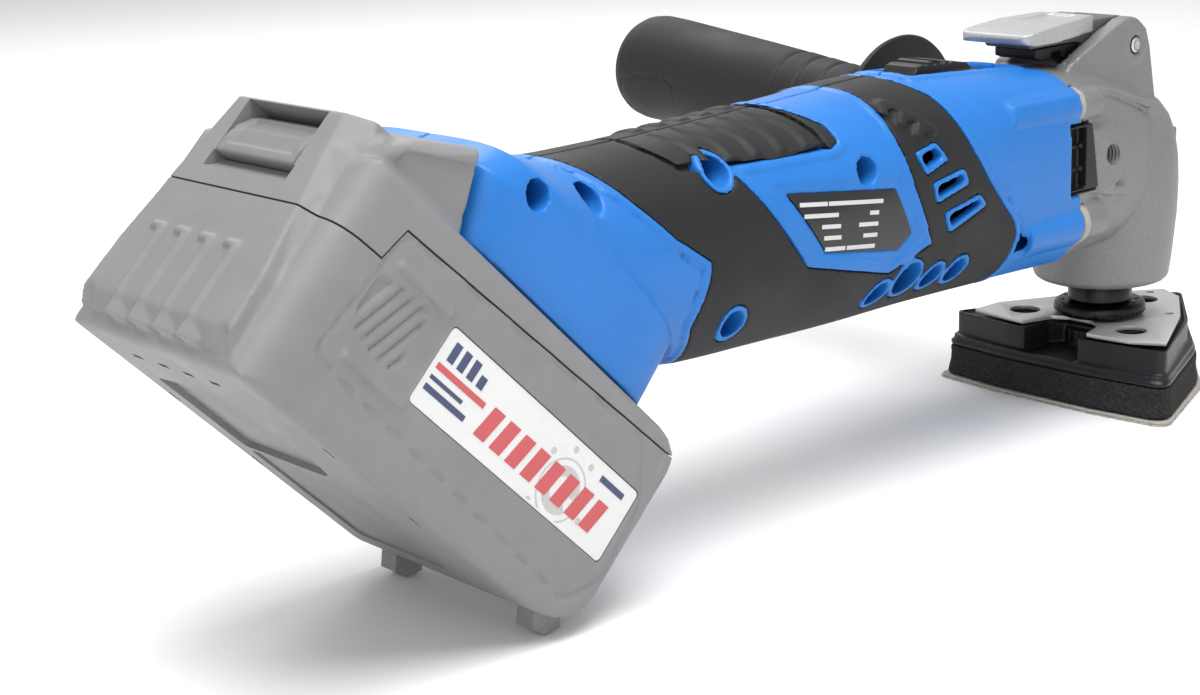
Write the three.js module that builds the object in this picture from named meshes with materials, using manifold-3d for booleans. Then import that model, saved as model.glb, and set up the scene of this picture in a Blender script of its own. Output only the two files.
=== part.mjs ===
// Cordless oscillating multi tool with side handle, delta sanding pad and slide-on battery.
// Millimetres, +Z up. Origin: output spindle axis on the working face of the sanding sheet.
// +X runs from the grip to the gear head, -Y is the right-hand side of the tool.
import * as THREE from 'three';
import { mergeVertices } from 'three/addons/utils/BufferGeometryUtils.js';
import Module from 'manifold-3d';

const wasm = await Module();
wasm.setup();

// ---------------------------------------------------------------- driving dimensions
const GAP = 0.3; // clearance between pieces that touch
const MOTOR_Z = 81; // height of the motor axis
const JOINT_X = -49.5; // plane where the housing meets the gear head
const HEAD_BACK_X = -46.2; // rear face of the gear head casting
const SKIN = 2.4; // depth of the soft overmould
const WALL = 2.6; // thickness of the hard housing under it
const PIVOT = { x: -5, z: 112.5 }; // lever pin
const SIDE_BOSS = { x: -31.5, y: 26.4, z: 83.4 }; // threaded handle boss, one on each side
const HANDLE_TILT = THREE.MathUtils.degToRad(4.2); // draft of the boss raises the handle
const BATTERY_TILT = Math.PI / 4; // the pack lies at 45 degrees
const PACK = { u0: -304.4, u1: -183.2, halfWidth: 37.5, bottom: -184.5, shoulder: -128.3, parting: -137.5 };
const PACK_FACE = -308; // raised panel in the middle of the rear of the pack
const HOOD_HALF_WIDTH = 33; // grey hood on the pack and the blue foot it meets
const PAD = { side: 43.6, nose: 48.8, rear: -27, foamTop: 11.4, frameTop: 22.4 };
const HEAD_BOSSES = [[23.4, 64.8, 6.4, 74.5], [21.6, 99.6, 5.6, 80]]; // y, z, radius, start of each screw boss

const BLUE = { color: 0x3c8ce4, roughness: 0.42, metalness: 0 };
const RUBBER = { color: 0x2c2c2e, roughness: 0.75, metalness: 0 };
const BLACK = { color: 0x1e1e20, roughness: 0.5, metalness: 0 };
const GREY = { color: 0x97989a, roughness: 0.55, metalness: 0 };
const CAST = { color: 0xa2a3a2, roughness: 0.4, metalness: 0.35 };
const SILVER = { color: 0xb9bcc0, roughness: 0.3, metalness: 0.6 };
const STEEL = { color: 0xc4c4c6, roughness: 0.3, metalness: 0.9 };
const COPPER = { color: 0xb07040, roughness: 0.4, metalness: 0.8 };
const GREEN = { color: 0x2d6a43, roughness: 0.5, metalness: 0 };
const WHITE = { color: 0xe8e8e6, roughness: 0.4, metalness: 0 };
const TAN = { color: 0xb8a88c, roughness: 0.7, metalness: 0 };

// ---------------------------------------------------------------- solids
function solid(geometry) {
  const bare = geometry.clone();
  for (const name of Object.keys(bare.attributes)) {
    if (name !== 'position') bare.deleteAttribute(name);
  }
  const merged = mergeVertices(bare, 1e-4);
  const mesh = new wasm.Mesh({
    numProp: 3,
    vertProperties: new Float32Array(merged.attributes.position.array),
    triVerts: new Uint32Array(merged.index.array),
  });
  return new wasm.Manifold(mesh);
}

function geometryOf(manifold) {
  const mesh = manifold.getMesh();
  const geometry = new THREE.BufferGeometry();
  geometry.setAttribute('position', new THREE.BufferAttribute(mesh.vertProperties, 3));
  geometry.setIndex(new THREE.BufferAttribute(mesh.triVerts, 1));
  return geometry;
}

function box(x0, x1, y0, y1, z0, z1) {
  const geometry = new THREE.BoxGeometry(x1 - x0, y1 - y0, z1 - z0);
  geometry.translate((x0 + x1) / 2, (y0 + y1) / 2, (z0 + z1) / 2);
  return solid(geometry);
}

const AXIS_TURN = { x: [0, 0, -Math.PI / 2], y: [0, 0, 0], z: [Math.PI / 2, 0, 0] };

// Round bar from `from` to `to` along an axis; `at` gives the other two coordinates in XYZ order.
function rod(axis, radius, from, to, at = [0, 0], sides = 20) {
  const geometry = new THREE.CylinderGeometry(radius, radius, to - from, sides);
  geometry.rotateX(AXIS_TURN[axis][0]);
  geometry.rotateZ(AXIS_TURN[axis][2]);
  const middle = (from + to) / 2;
  const place = { x: [middle, ...at], y: [at[0], middle, at[1]], z: [...at, middle] };
  geometry.translate(...place[axis]);
  return solid(geometry);
}

// Turned piece about Z: profile is [radius, z] from the lower axis point to the upper one.
function turned(profile, sides = 24) {
  const points = profile.map(([radius, z]) => new THREE.Vector2(radius, z));
  const geometry = new THREE.LatheGeometry(points, sides);
  geometry.rotateX(Math.PI / 2);
  return solid(geometry);
}

// Flat outline in the XZ plane, extruded from y0 to y1.
function sidePlate(outline, y0, y1) {
  const shape = new THREE.Shape(outline.map(([x, z]) => new THREE.Vector2(x, z)));
  const geometry = new THREE.ExtrudeGeometry(shape, { depth: y1 - y0, bevelEnabled: false });
  geometry.rotateX(Math.PI / 2);
  geometry.translate(0, y1, 0);
  return solid(geometry);
}

// Flat outline in the XY plane, extruded from z0 to z1.
function flatPlate(outline, z0, z1) {
  const shape = new THREE.Shape(outline.map(([x, y]) => new THREE.Vector2(x, y)));
  const geometry = new THREE.ExtrudeGeometry(shape, { depth: z1 - z0, bevelEnabled: false });
  geometry.translate(0, 0, z0);
  return solid(geometry);
}

// Corner-rounded version of a polygon: each corner is [x, y, radius].
function rounded(corners, steps = 4) {
  const points = [];
  corners.forEach(([x, y, radius = 0], index) => {
    const here = new THREE.Vector2(x, y);
    if (radius === 0) {
      points.push([x, y]);
      return;
    }
    const before = new THREE.Vector2(...corners[(index + corners.length - 1) % corners.length]);
    const after = new THREE.Vector2(...corners[(index + 1) % corners.length]);
    const room = 0.45 * Math.min(before.distanceTo(here), after.distanceTo(here));
    const inDir = before.sub(here).normalize();
    const outDir = after.sub(here).normalize();
    const half = Math.acos(THREE.MathUtils.clamp(inDir.dot(outDir), -1, 1)) / 2;
    const reach = Math.min(radius / Math.tan(half), room);
    const start = here.clone().addScaledVector(inDir, reach);
    const end = here.clone().addScaledVector(outDir, reach);
    const curve = new THREE.QuadraticBezierCurve(start, here, end);
    for (const point of curve.getPoints(steps)) points.push([point.x, point.y]);
  });
  return points;
}

// Polygon moved outwards by `amount` along its edge normals.
function grown(outline, amount) {
  const corners = outline.map(([x, y]) => new THREE.Vector2(x, y));
  const outwards = THREE.ShapeUtils.area(corners) > 0 ? amount : -amount;
  return corners.map((here, index) => {
    const before = corners[(index + corners.length - 1) % corners.length];
    const after = corners[(index + 1) % corners.length];
    const first = new THREE.Vector2(here.y - before.y, before.x - here.x).normalize();
    const second = new THREE.Vector2(after.y - here.y, here.x - after.x).normalize();
    const shift = first.clone().add(second).multiplyScalar(outwards / (1 + first.dot(second)));
    return [here.x + shift.x, here.y + shift.y];
  });
}

// Closed skin through rings that all have the same number of points.
function loft(rings) {
  const count = rings[0].length;
  const positions = [];
  for (const ring of rings) {
    for (const point of ring) positions.push(point.x, point.y, point.z);
  }
  const index = [];
  for (let r = 0; r + 1 < rings.length; r++) {
    for (let k = 0; k < count; k++) {
      const a = r * count + k;
      const b = r * count + ((k + 1) % count);
      index.push(a, b + count, b, a, a + count, b + count);
    }
  }
  for (const [ring, flip] of [[0, false], [rings.length - 1, true]]) {
    const centre = new THREE.Vector3();
    for (const point of rings[ring]) centre.addScaledVector(point, 1 / count);
    const hub = positions.length / 3;
    positions.push(centre.x, centre.y, centre.z);
    for (let k = 0; k < count; k++) {
      const a = ring * count + k;
      const b = ring * count + ((k + 1) % count);
      index.push(...(flip ? [hub, b, a] : [hub, a, b]));
    }
  }
  const geometry = new THREE.BufferGeometry();
  geometry.setAttribute('position', new THREE.Float32BufferAttribute(positions, 3));
  geometry.setIndex(index);
  return solid(geometry);
}

// Superellipse ring: top and bottom points lie in the XZ plane, `half` is the half width in Y.
function bodyRing([topX, topZ, bottomX, bottomZ, half, power], inset = 0, count = 24) {
  const middle = new THREE.Vector3((topX + bottomX) / 2, 0, (topZ + bottomZ) / 2);
  const rise = new THREE.Vector3((topX - bottomX) / 2, 0, (topZ - bottomZ) / 2);
  rise.setLength(rise.length() - inset);
  const ring = [];
  for (let k = 0; k < count; k++) {
    const angle = (2 * Math.PI * (k + 0.5)) / count;
    const c = Math.cos(angle);
    const s = Math.sin(angle);
    const up = Math.sign(c) * Math.abs(c) ** (2 / power);
    const side = Math.sign(s) * Math.abs(s) ** (2 / power);
    ring.push(middle.clone().addScaledVector(rise, up).add(new THREE.Vector3(0, side * (half - inset), 0)));
  }
  return ring;
}

function union(first, ...rest) {
  return rest.reduce((sum, piece) => sum.add(piece), first);
}

function cut(first, ...rest) {
  return rest.reduce((sum, piece) => sum.subtract(piece), first);
}

// ---------------------------------------------------------------- scene graph
const tool = new THREE.Group();
const pack = new THREE.Group(); // battery frame: X along the pack, Z towards the tool
pack.rotation.y = BATTERY_TILT;
const handle = new THREE.Group(); // handle frame: Y along the handle
handle.position.set(SIDE_BOSS.x, SIDE_BOSS.y, SIDE_BOSS.z);
handle.rotation.x = HANDLE_TILT;
tool.add(pack, handle);

function place(name, manifold, finish, parent = tool) {
  const mesh = new THREE.Mesh(geometryOf(manifold), new THREE.MeshStandardMaterial(finish));
  mesh.name = name;
  parent.add(mesh);
}

// Solid drawn in the battery frame, turned into the tool frame so that it can cut the housing.
function inToolFrame(manifold) {
  const geometry = geometryOf(manifold);
  geometry.rotateY(BATTERY_TILT);
  return solid(geometry);
}

// ---------------------------------------------------------------- housing
// Rings of the body skin, rear to front: top x, top z, bottom x, bottom z, half width, squareness.
const BODY_RINGS = [
  [-281.4, 101.1, -228.4, 48.1, 33, 8],
  [-274.9, 117.5, -217.2, 59.8, 33.3, 7],
  [-266, 119.6, -212.8, 61, 32.6, 5],
  [-253, 113.9, -209.5, 56, 30.6, 3.2],
  [-240, 109.6, -205, 51.2, 29, 2.5],
  [-218, 109.2, -193, 49.8, 28.7, 2.3],
  [-176, 110.8, -170, 49.4, 28.8, 2.3],
  [-143, 112.8, -143, 49.3, 29.4, 2.4],
  [-112, 114.3, -112, 49.7, 29.5, 2.5],
  [-80, 112.7, -80, 50.2, 29, 3],
  [JOINT_X, 110.4, JOINT_X, 50.2, 28, 3.6],
];

// Overmould outline on one side, in the XZ plane: the grip, the run under the plate and the front band.
const BAND_FRONT = [[-112, 120], [-107, 111], [-106.4, 103], [-101.9, 94.1], [-96.1, 85.5], [-88.6, 76.8],
  [-82.6, 70.6], [-81.6, 66], [-82.4, 58], [-86, 40]];
const GRIP_REAR = [[-199, 40], [-206, 57], [-208, 65], [-202.9, 76.4], [-202.2, 81], [-213.3, 88.5],
  [-223, 98], [-229.7, 105.6], [-234, 109.5], [-239, 120]];
const PANEL = [[-164, 122], [-157, 112], [-150.4, 107.4], [-149.6, 103.2], [-152.8, 102], [-189.6, 102.2],
  [-167.6, 73.4], [-134.6, 65.6], [-118.4, 71.4], [-125.4, 87], [-129.4, 101], [-131.4, 122]];
// Outer corners of the hard frames round the three side vents.
const SIDE_VENTS = [
  [[-124.2, 97.2], [-115.1, 98.9], [-111.1, 93.8], [-121, 90.7]],
  [[-118.7, 88.2], [-105.3, 90.5], [-103.1, 85.8], [-117.3, 82.3]],
  [[-114, 79.3], [-98.4, 82.2], [-95.3, 78.6], [-111.6, 73.2]],
];
const DROP_VENTS = [[-137, 60.2, 3.2], [-125.6, 61.8, 4.6], [-115.4, 61, 3.4], [-104.8, 60.8, 3.4]];
const HOUSING_SCREWS = [[-193.6, 101.8], [-192.4, 62.6], [-142.9, 95], [-260.4, 107.6], [-236.6, 101.6]];
const RINGED_SCREWS = 2; // the first two sit in the soft grip inside a hard collar
const BORE_RADIUS = 3.7;
const FRAME = 1.5; // hard frame left round each opening in the soft band

function bodySkin(inset, from = 0) {
  return loft(BODY_RINGS.slice(from).map((ring) => bodyRing(ring, inset)));
}

function ventCutter(corners, grow, y0, y1) {
  return sidePlate(grown(corners, grow), y0, y1);
}

function dropCutter([x, z, radius], grow, y0, y1) {
  const points = [];
  const steps = 8;
  for (let k = 0; k < steps; k++) {
    const angle = (2 * Math.PI * k) / steps;
    const along = (radius + grow) * 1.35 * Math.cos(angle);
    const across = (radius + grow) * 0.8 * Math.sin(angle);
    points.push([x + along * 0.86 - across * 0.5, z + along * 0.5 + across * 0.86]);
  }
  return sidePlate(points, y0, y1);
}

function ringAround([x, z], radius, y0, y1) {
  return rod('y', radius, y0, y1, [x, z], 14);
}

// Region of the soft overmould on side s (-1 right, +1 left), grown by `grow` where it meets the housing.
function overmouldMask(s, grow) {
  const inner = GAP / 2 - 4 * grow;
  const span = s < 0 ? [-60, -inner] : [inner, 60];
  const outline = grown([...BAND_FRONT, ...GRIP_REAR], grow);
  const holes = [sidePlate(grown(PANEL, -grow), ...span)];
  for (const vent of SIDE_VENTS) holes.push(ventCutter(vent, -grow, ...span));
  for (const vent of DROP_VENTS) holes.push(dropCutter(vent, 1.3 - grow, ...span));
  for (const screw of HOUSING_SCREWS.slice(0, RINGED_SCREWS)) {
    holes.push(ringAround(screw, BORE_RADIUS + FRAME - grow, ...span));
  }
  return cut(sidePlate(outline, ...span), ...holes);
}

const SKIN_SHELL = bodySkin(0).subtract(bodySkin(SKIN, 2));

function overmould(s) {
  return SKIN_SHELL.intersect(overmouldMask(s, 0));
}

const SWITCH_SLOT = { x0: -104, x1: -57, half: 8.4 };
const SLIDER = { x0: -102.5, x1: -70.5, half: 7.6 };

// Cavity for the motor and the electronics, with a pocket in the foot for the contacts.
function bodyCavity() {
  const hollow = loft(BODY_RINGS.slice(4).map((ring) => bodyRing(ring, SKIN + WALL)));
  const reach = box(JOINT_X - 6, JOINT_X + 2, -20, 20, 58, 103);
  return union(hollow, reach, inToolFrame(box(-230.5, -208, -18, 18, -115.2, -96)));
}

// T-slot that takes the rail of the pack, open at the rear.
function railSlot() {
  const neck = box(-285, -203, -18.8, 18.8, PACK.shoulder - 3, -120);
  const head = box(-285, -203, -22.8, 22.8, -121, -114.8);
  return inToolFrame(neck.add(head));
}

function headScrewBosses() {
  const bosses = [];
  for (const s of [-1, 1]) {
    for (const [y, z, radius, start] of HEAD_BOSSES) {
      bosses.push(rod('x', radius, -start, JOINT_X, [s * y, z], 16));
    }
  }
  return bosses;
}

function headScrewBores() {
  const bores = [];
  for (const s of [-1, 1]) {
    for (const [y, z] of HEAD_BOSSES) {
      bores.push(rod('x', 3.9, -79.5, -58, [s * y, z], 14));
      bores.push(rod('x', 1.9, -59, JOINT_X + 1, [s * y, z], 10));
    }
  }
  return bores;
}

const HOUSING = bodySkin(0);
const SWITCH_FLOOR = box(-105.6, -55, -10.6, 10.6, 105.8, 109.6);
const DIAL = { radius: 9.8, low: 83.6, high: 89.6, at: [-68, 22.4] };
const HOUSING_CAVITY = bodyCavity();

function screwPillar([x, z], s, depth) {
  const reach = s < 0 ? [-31, -GAP / 2] : [GAP / 2, 31];
  return rod('y', depth, ...reach, [x, z], 14).intersect(HOUSING);
}

// Half shell: skin, cavity, bosses and pillars, then every opening.
function housing(s) {
  const half = s < 0 ? box(-320, 0, -60, -GAP / 2, 0, 160) : box(-320, 0, GAP / 2, 60, 0, 160);
  const body = HOUSING.subtract(HOUSING_CAVITY).add(union(...headScrewBosses(), SWITCH_FLOOR));
  let shell = body.intersect(half);
  for (const screw of HOUSING_SCREWS) shell = shell.add(screwPillar(screw, s, BORE_RADIUS + 1.8));
  shell = shell.subtract(bodySkin(-1).subtract(bodySkin(SKIN + GAP, 2)).intersect(overmouldMask(s, GAP)));
  const ventSpan = s < 0 ? [-40, -15] : [15, 40];
  for (const vent of SIDE_VENTS) shell = shell.subtract(ventCutter(vent, -FRAME, ...ventSpan));
  const dropSpan = s < 0 ? [-40, -12] : [12, 40];
  for (const vent of DROP_VENTS) shell = shell.subtract(dropCutter(vent, 0, ...dropSpan));
  shell = cut(shell, ...headScrewBores(), railSlot());
  shell = shell.subtract(box(SWITCH_SLOT.x0, SWITCH_SLOT.x1, -SWITCH_SLOT.half, SWITCH_SLOT.half, 108.6, 125));
  shell = shell.subtract(box(-93, -73.5, -3.4, 3.4, 100, 125));
  shell = shell.subtract(box(JOINT_X - 5, JOINT_X + 1, s < 0 ? -40 : 20, s < 0 ? -20 : 40, 73.6, 95.4));
  if (s > 0) {
    shell = shell.subtract(rod('z', DIAL.radius + 0.6, DIAL.low - 0.6, DIAL.high + 0.6, DIAL.at, 24));
    for (const [x, z] of HOUSING_SCREWS) shell = shell.subtract(rod('y', 1.9, -1, 12, [x, z], 10));
    return shell;
  }
  for (const [x, z] of HOUSING_SCREWS) {
    shell = shell.subtract(rod('y', BORE_RADIUS, -45, -9, [x, z], 14));
    shell = shell.subtract(rod('y', 1.9, -10, 1, [x, z], 10));
  }
  return shell.subtract(ratingLayer(-0.6, 1.1, GAP));
}

const PLATE_OUTLINE = [[-173, 94.2], [-133.6, 89], [-128.8, 76.6], [-134.4, 73], [-163, 79.6]];

function ratingLayer(from, to, grow) {
  return bodySkin(from).subtract(bodySkin(to)).intersect(sidePlate(grown(PLATE_OUTLINE, grow), -50, -5));
}

place('housing_right', housing(-1), BLUE);
place('housing_left', housing(1), BLUE);
place('overmould_right', overmould(-1), RUBBER);
place('overmould_left', overmould(1), RUBBER);

// ---------------------------------------------------------------- plate, switch, dial
place('rating_plate', ratingLayer(0.2, 0.8, 0), BLACK);

function slideSwitch() {
  const { x0, x1, half } = SLIDER;
  const body = box(x0, x1, -half, half, 109, 112.6);
  const profile = [[x0 + 2, 112], [x1 - 2, 112], [x1 - 6, 115.2], [x0 + 9, 116.4], [x0 + 4, 115]];
  const thumb = sidePlate(profile, -5.6, 5.6);
  const grooves = [0, 1, 2, 3].map((k) => box(x0 + 9 + 4.5 * k, x0 + 10.6 + 4.5 * k, -6, 6, 115.1, 118));
  const stem = box(-90, -86, -2.6, 2.6, 101, 110);
  return cut(union(body, thumb, stem), ...grooves);
}
place('slide_switch', slideSwitch(), BLACK);

function speedDial() {
  const { radius, low, high, at } = DIAL;
  const wheel = rod('z', radius, low, high, at, 24);
  const notches = [];
  for (let k = 0; k < 8; k++) {
    const angle = (k * Math.PI) / 4;
    const centre = [at[0] + radius * Math.cos(angle), at[1] + radius * Math.sin(angle)];
    notches.push(rod('z', 0.8, low - 1, high + 1, centre, 6));
  }
  return cut(wheel, ...notches, rod('z', 1.8, low - 1, high + 1, at, 10));
}
place('speed_dial', speedDial(), BLACK);

// ---------------------------------------------------------------- gear head
const HEAD_RINGS = [
  [HEAD_BACK_X, 109.9, HEAD_BACK_X, 50.5, 27.4, 3.8],
  [-38, 109, -38, 50.8, 25.6, 3.4],
  [-26, 107.5, -26, 50.4, 24.2, 2.9],
  [-12, 104, -12, 50, 23, 2.6],
  [0, 100, 0, 50, 21, 2.5],
];
const DOME = [[0, 36], [20.4, 36], [22.2, 38.6], [23.4, 58], [23.6, 68], [23.2, 76], [22, 83.6], [20, 89],
  [16.8, 93.4], [12, 96.6], [0, 99]];
const EAR = [[-27, 100], [-27, 112.6], [-23, 114.6], [-12, 121], [-7, 121.8], [-2, 119.4], [1.6, 114],
  [4.5, 104], [7.4, 93], [0, 90]];
const EAR_Y = [8.9, 14.2];
const ECCENTRIC_X = -24;
const THREAD_RADIUS = 3.4;

function sideBoss(s) {
  const from = s < 0 ? -SIDE_BOSS.y : 15;
  const to = s < 0 ? -15 : SIDE_BOSS.y;
  const round = rod('y', 10.2, from, to, [SIDE_BOSS.x, SIDE_BOSS.z], 24);
  return round.add(box(-41, SIDE_BOSS.x, from, to, SIDE_BOSS.z - 10.2, SIDE_BOSS.z + 10.2));
}

// Blind hole for the handle stud, square to the handle rather than to the boss face.
function threadBore(s) {
  const geometry = geometryOf(rod('y', THREAD_RADIUS, -8.2, 4, [0, 0], 18));
  if (s < 0) geometry.rotateZ(Math.PI);
  geometry.rotateX(s * HANDLE_TILT);
  geometry.translate(SIDE_BOSS.x, s * SIDE_BOSS.y, SIDE_BOSS.z);
  return solid(geometry);
}

function gearboxHousing() {
  const neck = loft(HEAD_RINGS.map((ring) => bodyRing(ring, 0)));
  let casting = union(neck, turned(DOME), sideBoss(-1), sideBoss(1));
  for (const s of [-1, 1]) {
    const span = s < 0 ? [-EAR_Y[1], -EAR_Y[0]] : EAR_Y;
    casting = casting.add(sidePlate(EAR, ...span));
    for (const [y, z, radius] of HEAD_BOSSES) {
      casting = casting.add(rod('x', radius - 0.8, HEAD_BACK_X, -36, [s * y, z], 14));
    }
  }
  const gearRoom = union(box(HEAD_BACK_X - 1, -30, -16.4, 16.4, 60, 101), box(-31, -4, -14, 14, 62, 94));
  const spindleBore = union(
    rod('z', 11.3, 35, 41, [0, 0], 28),
    rod('z', 14.3, 39.9, 50.4, [0, 0], 28),
    rod('z', 12.5, 50.3, 88, [0, 0], 24),
    rod('z', 9.3, 87.9, 95.4, [0, 0], 24),
    rod('z', 5, 95, 104, [0, 0], 18),
  );
  casting = cut(casting, gearRoom, spindleBore);
  casting = cut(casting, sidePlate([[-30, 106], [-14, 103.4], [-4, 100.4], [-4, 130], [-30, 130]], -8.9, 8.9));
  casting = casting.subtract(rod('y', 2.75, -20, 20, [PIVOT.x, PIVOT.z], 18));
  for (const s of [-1, 1]) {
    casting = casting.subtract(threadBore(s));
    for (const [y, z] of HEAD_BOSSES) {
      casting = casting.subtract(rod('x', 1.8, HEAD_BACK_X - 1, -37.5, [s * y, z], 10));
    }
    const pocket = s < 0 ? [-30, -22.4] : [22.4, 30];
    casting = casting.subtract(box(HEAD_BACK_X - 1, -41, ...pocket, 74, 95));
  }
  return casting;
}
place('gearbox_housing', gearboxHousing(), CAST);

function gasket() {
  const x0 = JOINT_X + GAP;
  const x1 = HEAD_BACK_X - GAP;
  const ring = [x0, 110.4, x0, 50.4, 27.8, 3.6];
  const front = [x1, 110.2, x1, 50.4, 27.7, 3.6];
  let plate = loft([bodyRing(ring, 0), bodyRing(front, 0)]);
  for (const s of [-1, 1]) {
    for (const [y, z, radius] of HEAD_BOSSES) plate = plate.add(rod('x', radius - 0.2, x0, x1, [s * y, z], 14));
  }
  plate = plate.subtract(box(x0 - 1, x1 + 1, -17, 17, 60, 101));
  for (const s of [-1, 1]) {
    for (const [y, z] of HEAD_BOSSES) {
      plate = plate.subtract(rod('x', 1.9, x0 - 1, x1 + 1, [s * y, z], 10));
    }
    const notch = s < 0 ? [-40, -22.4] : [22.4, 40];
    plate = plate.subtract(box(x0 - 1, x1 + 1, ...notch, 74, 95));
  }
  return plate;
}
place('gearbox_gasket', gasket(), TAN);

// Black louvred air outlet between the housing and the casting, one on each side.
function airOutlet(s) {
  const span = s < 0 ? [-26.9, -22.9] : [22.9, 26.9];
  let frame = box(-54, -41.4, ...span, 74.6, 94.4);
  for (let k = 0; k < 3; k++) {
    const z = 77.2 + 5.4 * k;
    frame = frame.subtract(box(-53, -42.4, s < 0 ? -28 : 24.4, s < 0 ? -24.4 : 28, z, z + 3.6));
  }
  return frame;
}
place('air_outlet_right', airOutlet(-1), BLACK);
place('air_outlet_left', airOutlet(1), BLACK);

for (const [first, s] of [[1, -1], [3, 1]]) {
  HEAD_BOSSES.forEach(([y, z], index) => {
    const at = [s * y, z];
    const screw = rod('x', 3.4, -62.5, -59.1, at, 12).add(rod('x', 1.5, -59.2, -39, at, 8));
    place(`head_screw_${first + index}`, screw, STEEL);
  });
}
HOUSING_SCREWS.forEach(([x, z], index) => {
  const screw = union(rod('y', 3.2, -13.2, -10.1, [x, z], 10), rod('y', 1.5, -10.2, 10.5, [x, z], 6));
  const socket = rod('y', 1.7, -14, -11.6, [x, z], 6);
  place(`housing_screw_${index + 1}`, screw.subtract(socket), STEEL);
});

// ---------------------------------------------------------------- drive
const SPINDLE = { radius: 6, bore: 3.3, bottom: 25, top: 94.5 };

function ringOf(axis, outer, inner, from, to, at, sides = 24) {
  return rod(axis, outer, from, to, at, sides).subtract(rod(axis, inner, from - 1, to + 1, at, sides));
}

function outputSpindle() {
  const shaft = turned([[0, 24.4], [8.6, 24.4], [8.6, 28.6], [10.2, 29], [10.2, 34.6], [7.2, 35.6], [7.2, 39.8],
    [SPINDLE.radius, 39.9], [SPINDLE.radius, 88], [5, 88.2], [5, SPINDLE.top], [0, SPINDLE.top]], 16);
  return shaft.subtract(rod('z', SPINDLE.bore, 20, 100, [0, 0], 12));
}
place('output_spindle', outputSpindle(), STEEL);
place('spindle_bearing_lower', ringOf('z', 14, SPINDLE.radius + GAP, 40.2, 50, [0, 0]), STEEL);
place('spindle_bearing_upper', ringOf('z', 9, 5 + GAP, 88.5, 95, [0, 0], 20), STEEL);

function toolCollar() {
  const ring = turned([[0, 24.4], [14, 24.4], [14.6, 25], [14.6, 27.8], [13.8, 28.5], [0, 28.5]], 20);
  const holes = [rod('z', 9.1, 20, 30, [0, 0], 16)];
  for (let k = 0; k < 8; k++) {
    const angle = (k * Math.PI) / 4 + 0.2;
    holes.push(rod('z', 0.8, 26.5, 30, [12 * Math.cos(angle), 12 * Math.sin(angle)], 5));
  }
  return cut(ring, ...holes);
}
place('tool_collar', toolCollar(), BLACK);

function oscillatingFork() {
  const hub = rod('z', 10.5, 72, 87, [0, 0], 24);
  const bridge = box(-13, -6, -11.4, 11.4, 74, 85);
  const tines = [box(-29, -8, -11.4, -7.9, 75, 86), box(-29, -8, 7.9, 11.4, 75, 86)];
  return union(hub, bridge, ...tines).subtract(rod('z', SPINDLE.radius + GAP, 60, 100, [0, 0], 24));
}
place('oscillating_fork', oscillatingFork(), STEEL);

function eccentricShaft() {
  const coupling = rod('x', 4.2, -62, -50, [0, MOTOR_Z], 16);
  const shaft = rod('x', 3, -52, ECCENTRIC_X - 6, [0, MOTOR_Z], 16);
  const crank = rod('x', 2.4, ECCENTRIC_X - 7, ECCENTRIC_X + 5, [0.4, MOTOR_Z], 16);
  return union(coupling, shaft, crank).subtract(rod('x', 1.9, -64, -53, [0, MOTOR_Z], 12));
}
place('eccentric_shaft', eccentricShaft(), STEEL);
const ECCENTRIC_BEARING = ringOf('x', 6, 2.4 + GAP, ECCENTRIC_X - 3.5, ECCENTRIC_X + 3.5, [0.4, MOTOR_Z], 20);
place('eccentric_bearing', ECCENTRIC_BEARING, STEEL);

function motorCan() {
  const at = [0, MOTOR_Z];
  const can = union(rod('x', 21.6, -134, -92, at, 28), rod('x', 7, -137, -133, at, 16));
  const room = rod('x', 19.4, -132, -90, at, 24);
  const bearingSeat = rod('x', 5.4, -135.6, -131, at, 16);
  return cut(can, room, bearingSeat, rod('x', 2.6, -139, -135, at, 12));
}
place('motor_can', motorCan(), STEEL);

function motorRotor() {
  const shaft = rod('x', 1.6, -139.5, -54, [0, MOTOR_Z], 12);
  const core = rod('x', 17.6, -127, -100, [0, MOTOR_Z], 20);
  const slots = [];
  for (let k = 0; k < 5; k++) {
    const angle = (k * 2 * Math.PI) / 5;
    const at = [16.4 * Math.sin(angle), MOTOR_Z + 16.4 * Math.cos(angle)];
    slots.push(rod('x', 2.6, -128, -99, at, 8));
  }
  return cut(core, ...slots).add(shaft);
}
place('motor_rotor', motorRotor(), COPPER);
place('motor_bearing_rear', ringOf('x', 5.1, 1.6 + GAP, -135.3, -131.3, [0, MOTOR_Z], 16), STEEL);

function frontPlate() {
  const disc = rod('x', 19.1, -96.4, -93, [0, MOTOR_Z], 24).add(rod('x', 8, -93.1, -90, [0, MOTOR_Z], 20));
  return disc.subtract(rod('x', 2.1, -98, -88, [0, MOTOR_Z], 14));
}
place('motor_end_plate', frontPlate(), STEEL);

function coolingFan() {
  let fan = rod('x', 4.4, -88.5, -80, [0, MOTOR_Z], 16).add(rod('x', 19, -88.5, -87.3, [0, MOTOR_Z], 24));
  for (let k = 0; k < 9; k++) {
    const blade = new THREE.BoxGeometry(6.6, 15.2, 1);
    blade.translate(-84, 11, 0);
    blade.rotateX((k * 2 * Math.PI) / 9);
    blade.translate(0, 0, MOTOR_Z);
    fan = fan.add(solid(blade));
  }
  return fan.subtract(rod('x', 1.9, -90, -79, [0, MOTOR_Z], 12));
}
place('cooling_fan', coolingFan(), BLACK);

// ---------------------------------------------------------------- electrics
place('switch_module', box(-128, -106, -8, 8, 103.6, 107.2), BLACK);
function switchLink() {
  const strip = union(box(-105.6, -91, -2.4, 2.4, 103.4, 105), box(-93, -83.4, -4.8, 4.8, 103.4, 105));
  return strip.subtract(box(-90.4, -85.6, -3, 3, 102, 106));
}
place('switch_link', switchLink(), STEEL);
place('control_board', box(-185, -146, -17, 17, 62, 63.6).add(box(-178, -164, -8, 8, 63.5, 74)), GREEN);

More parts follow.
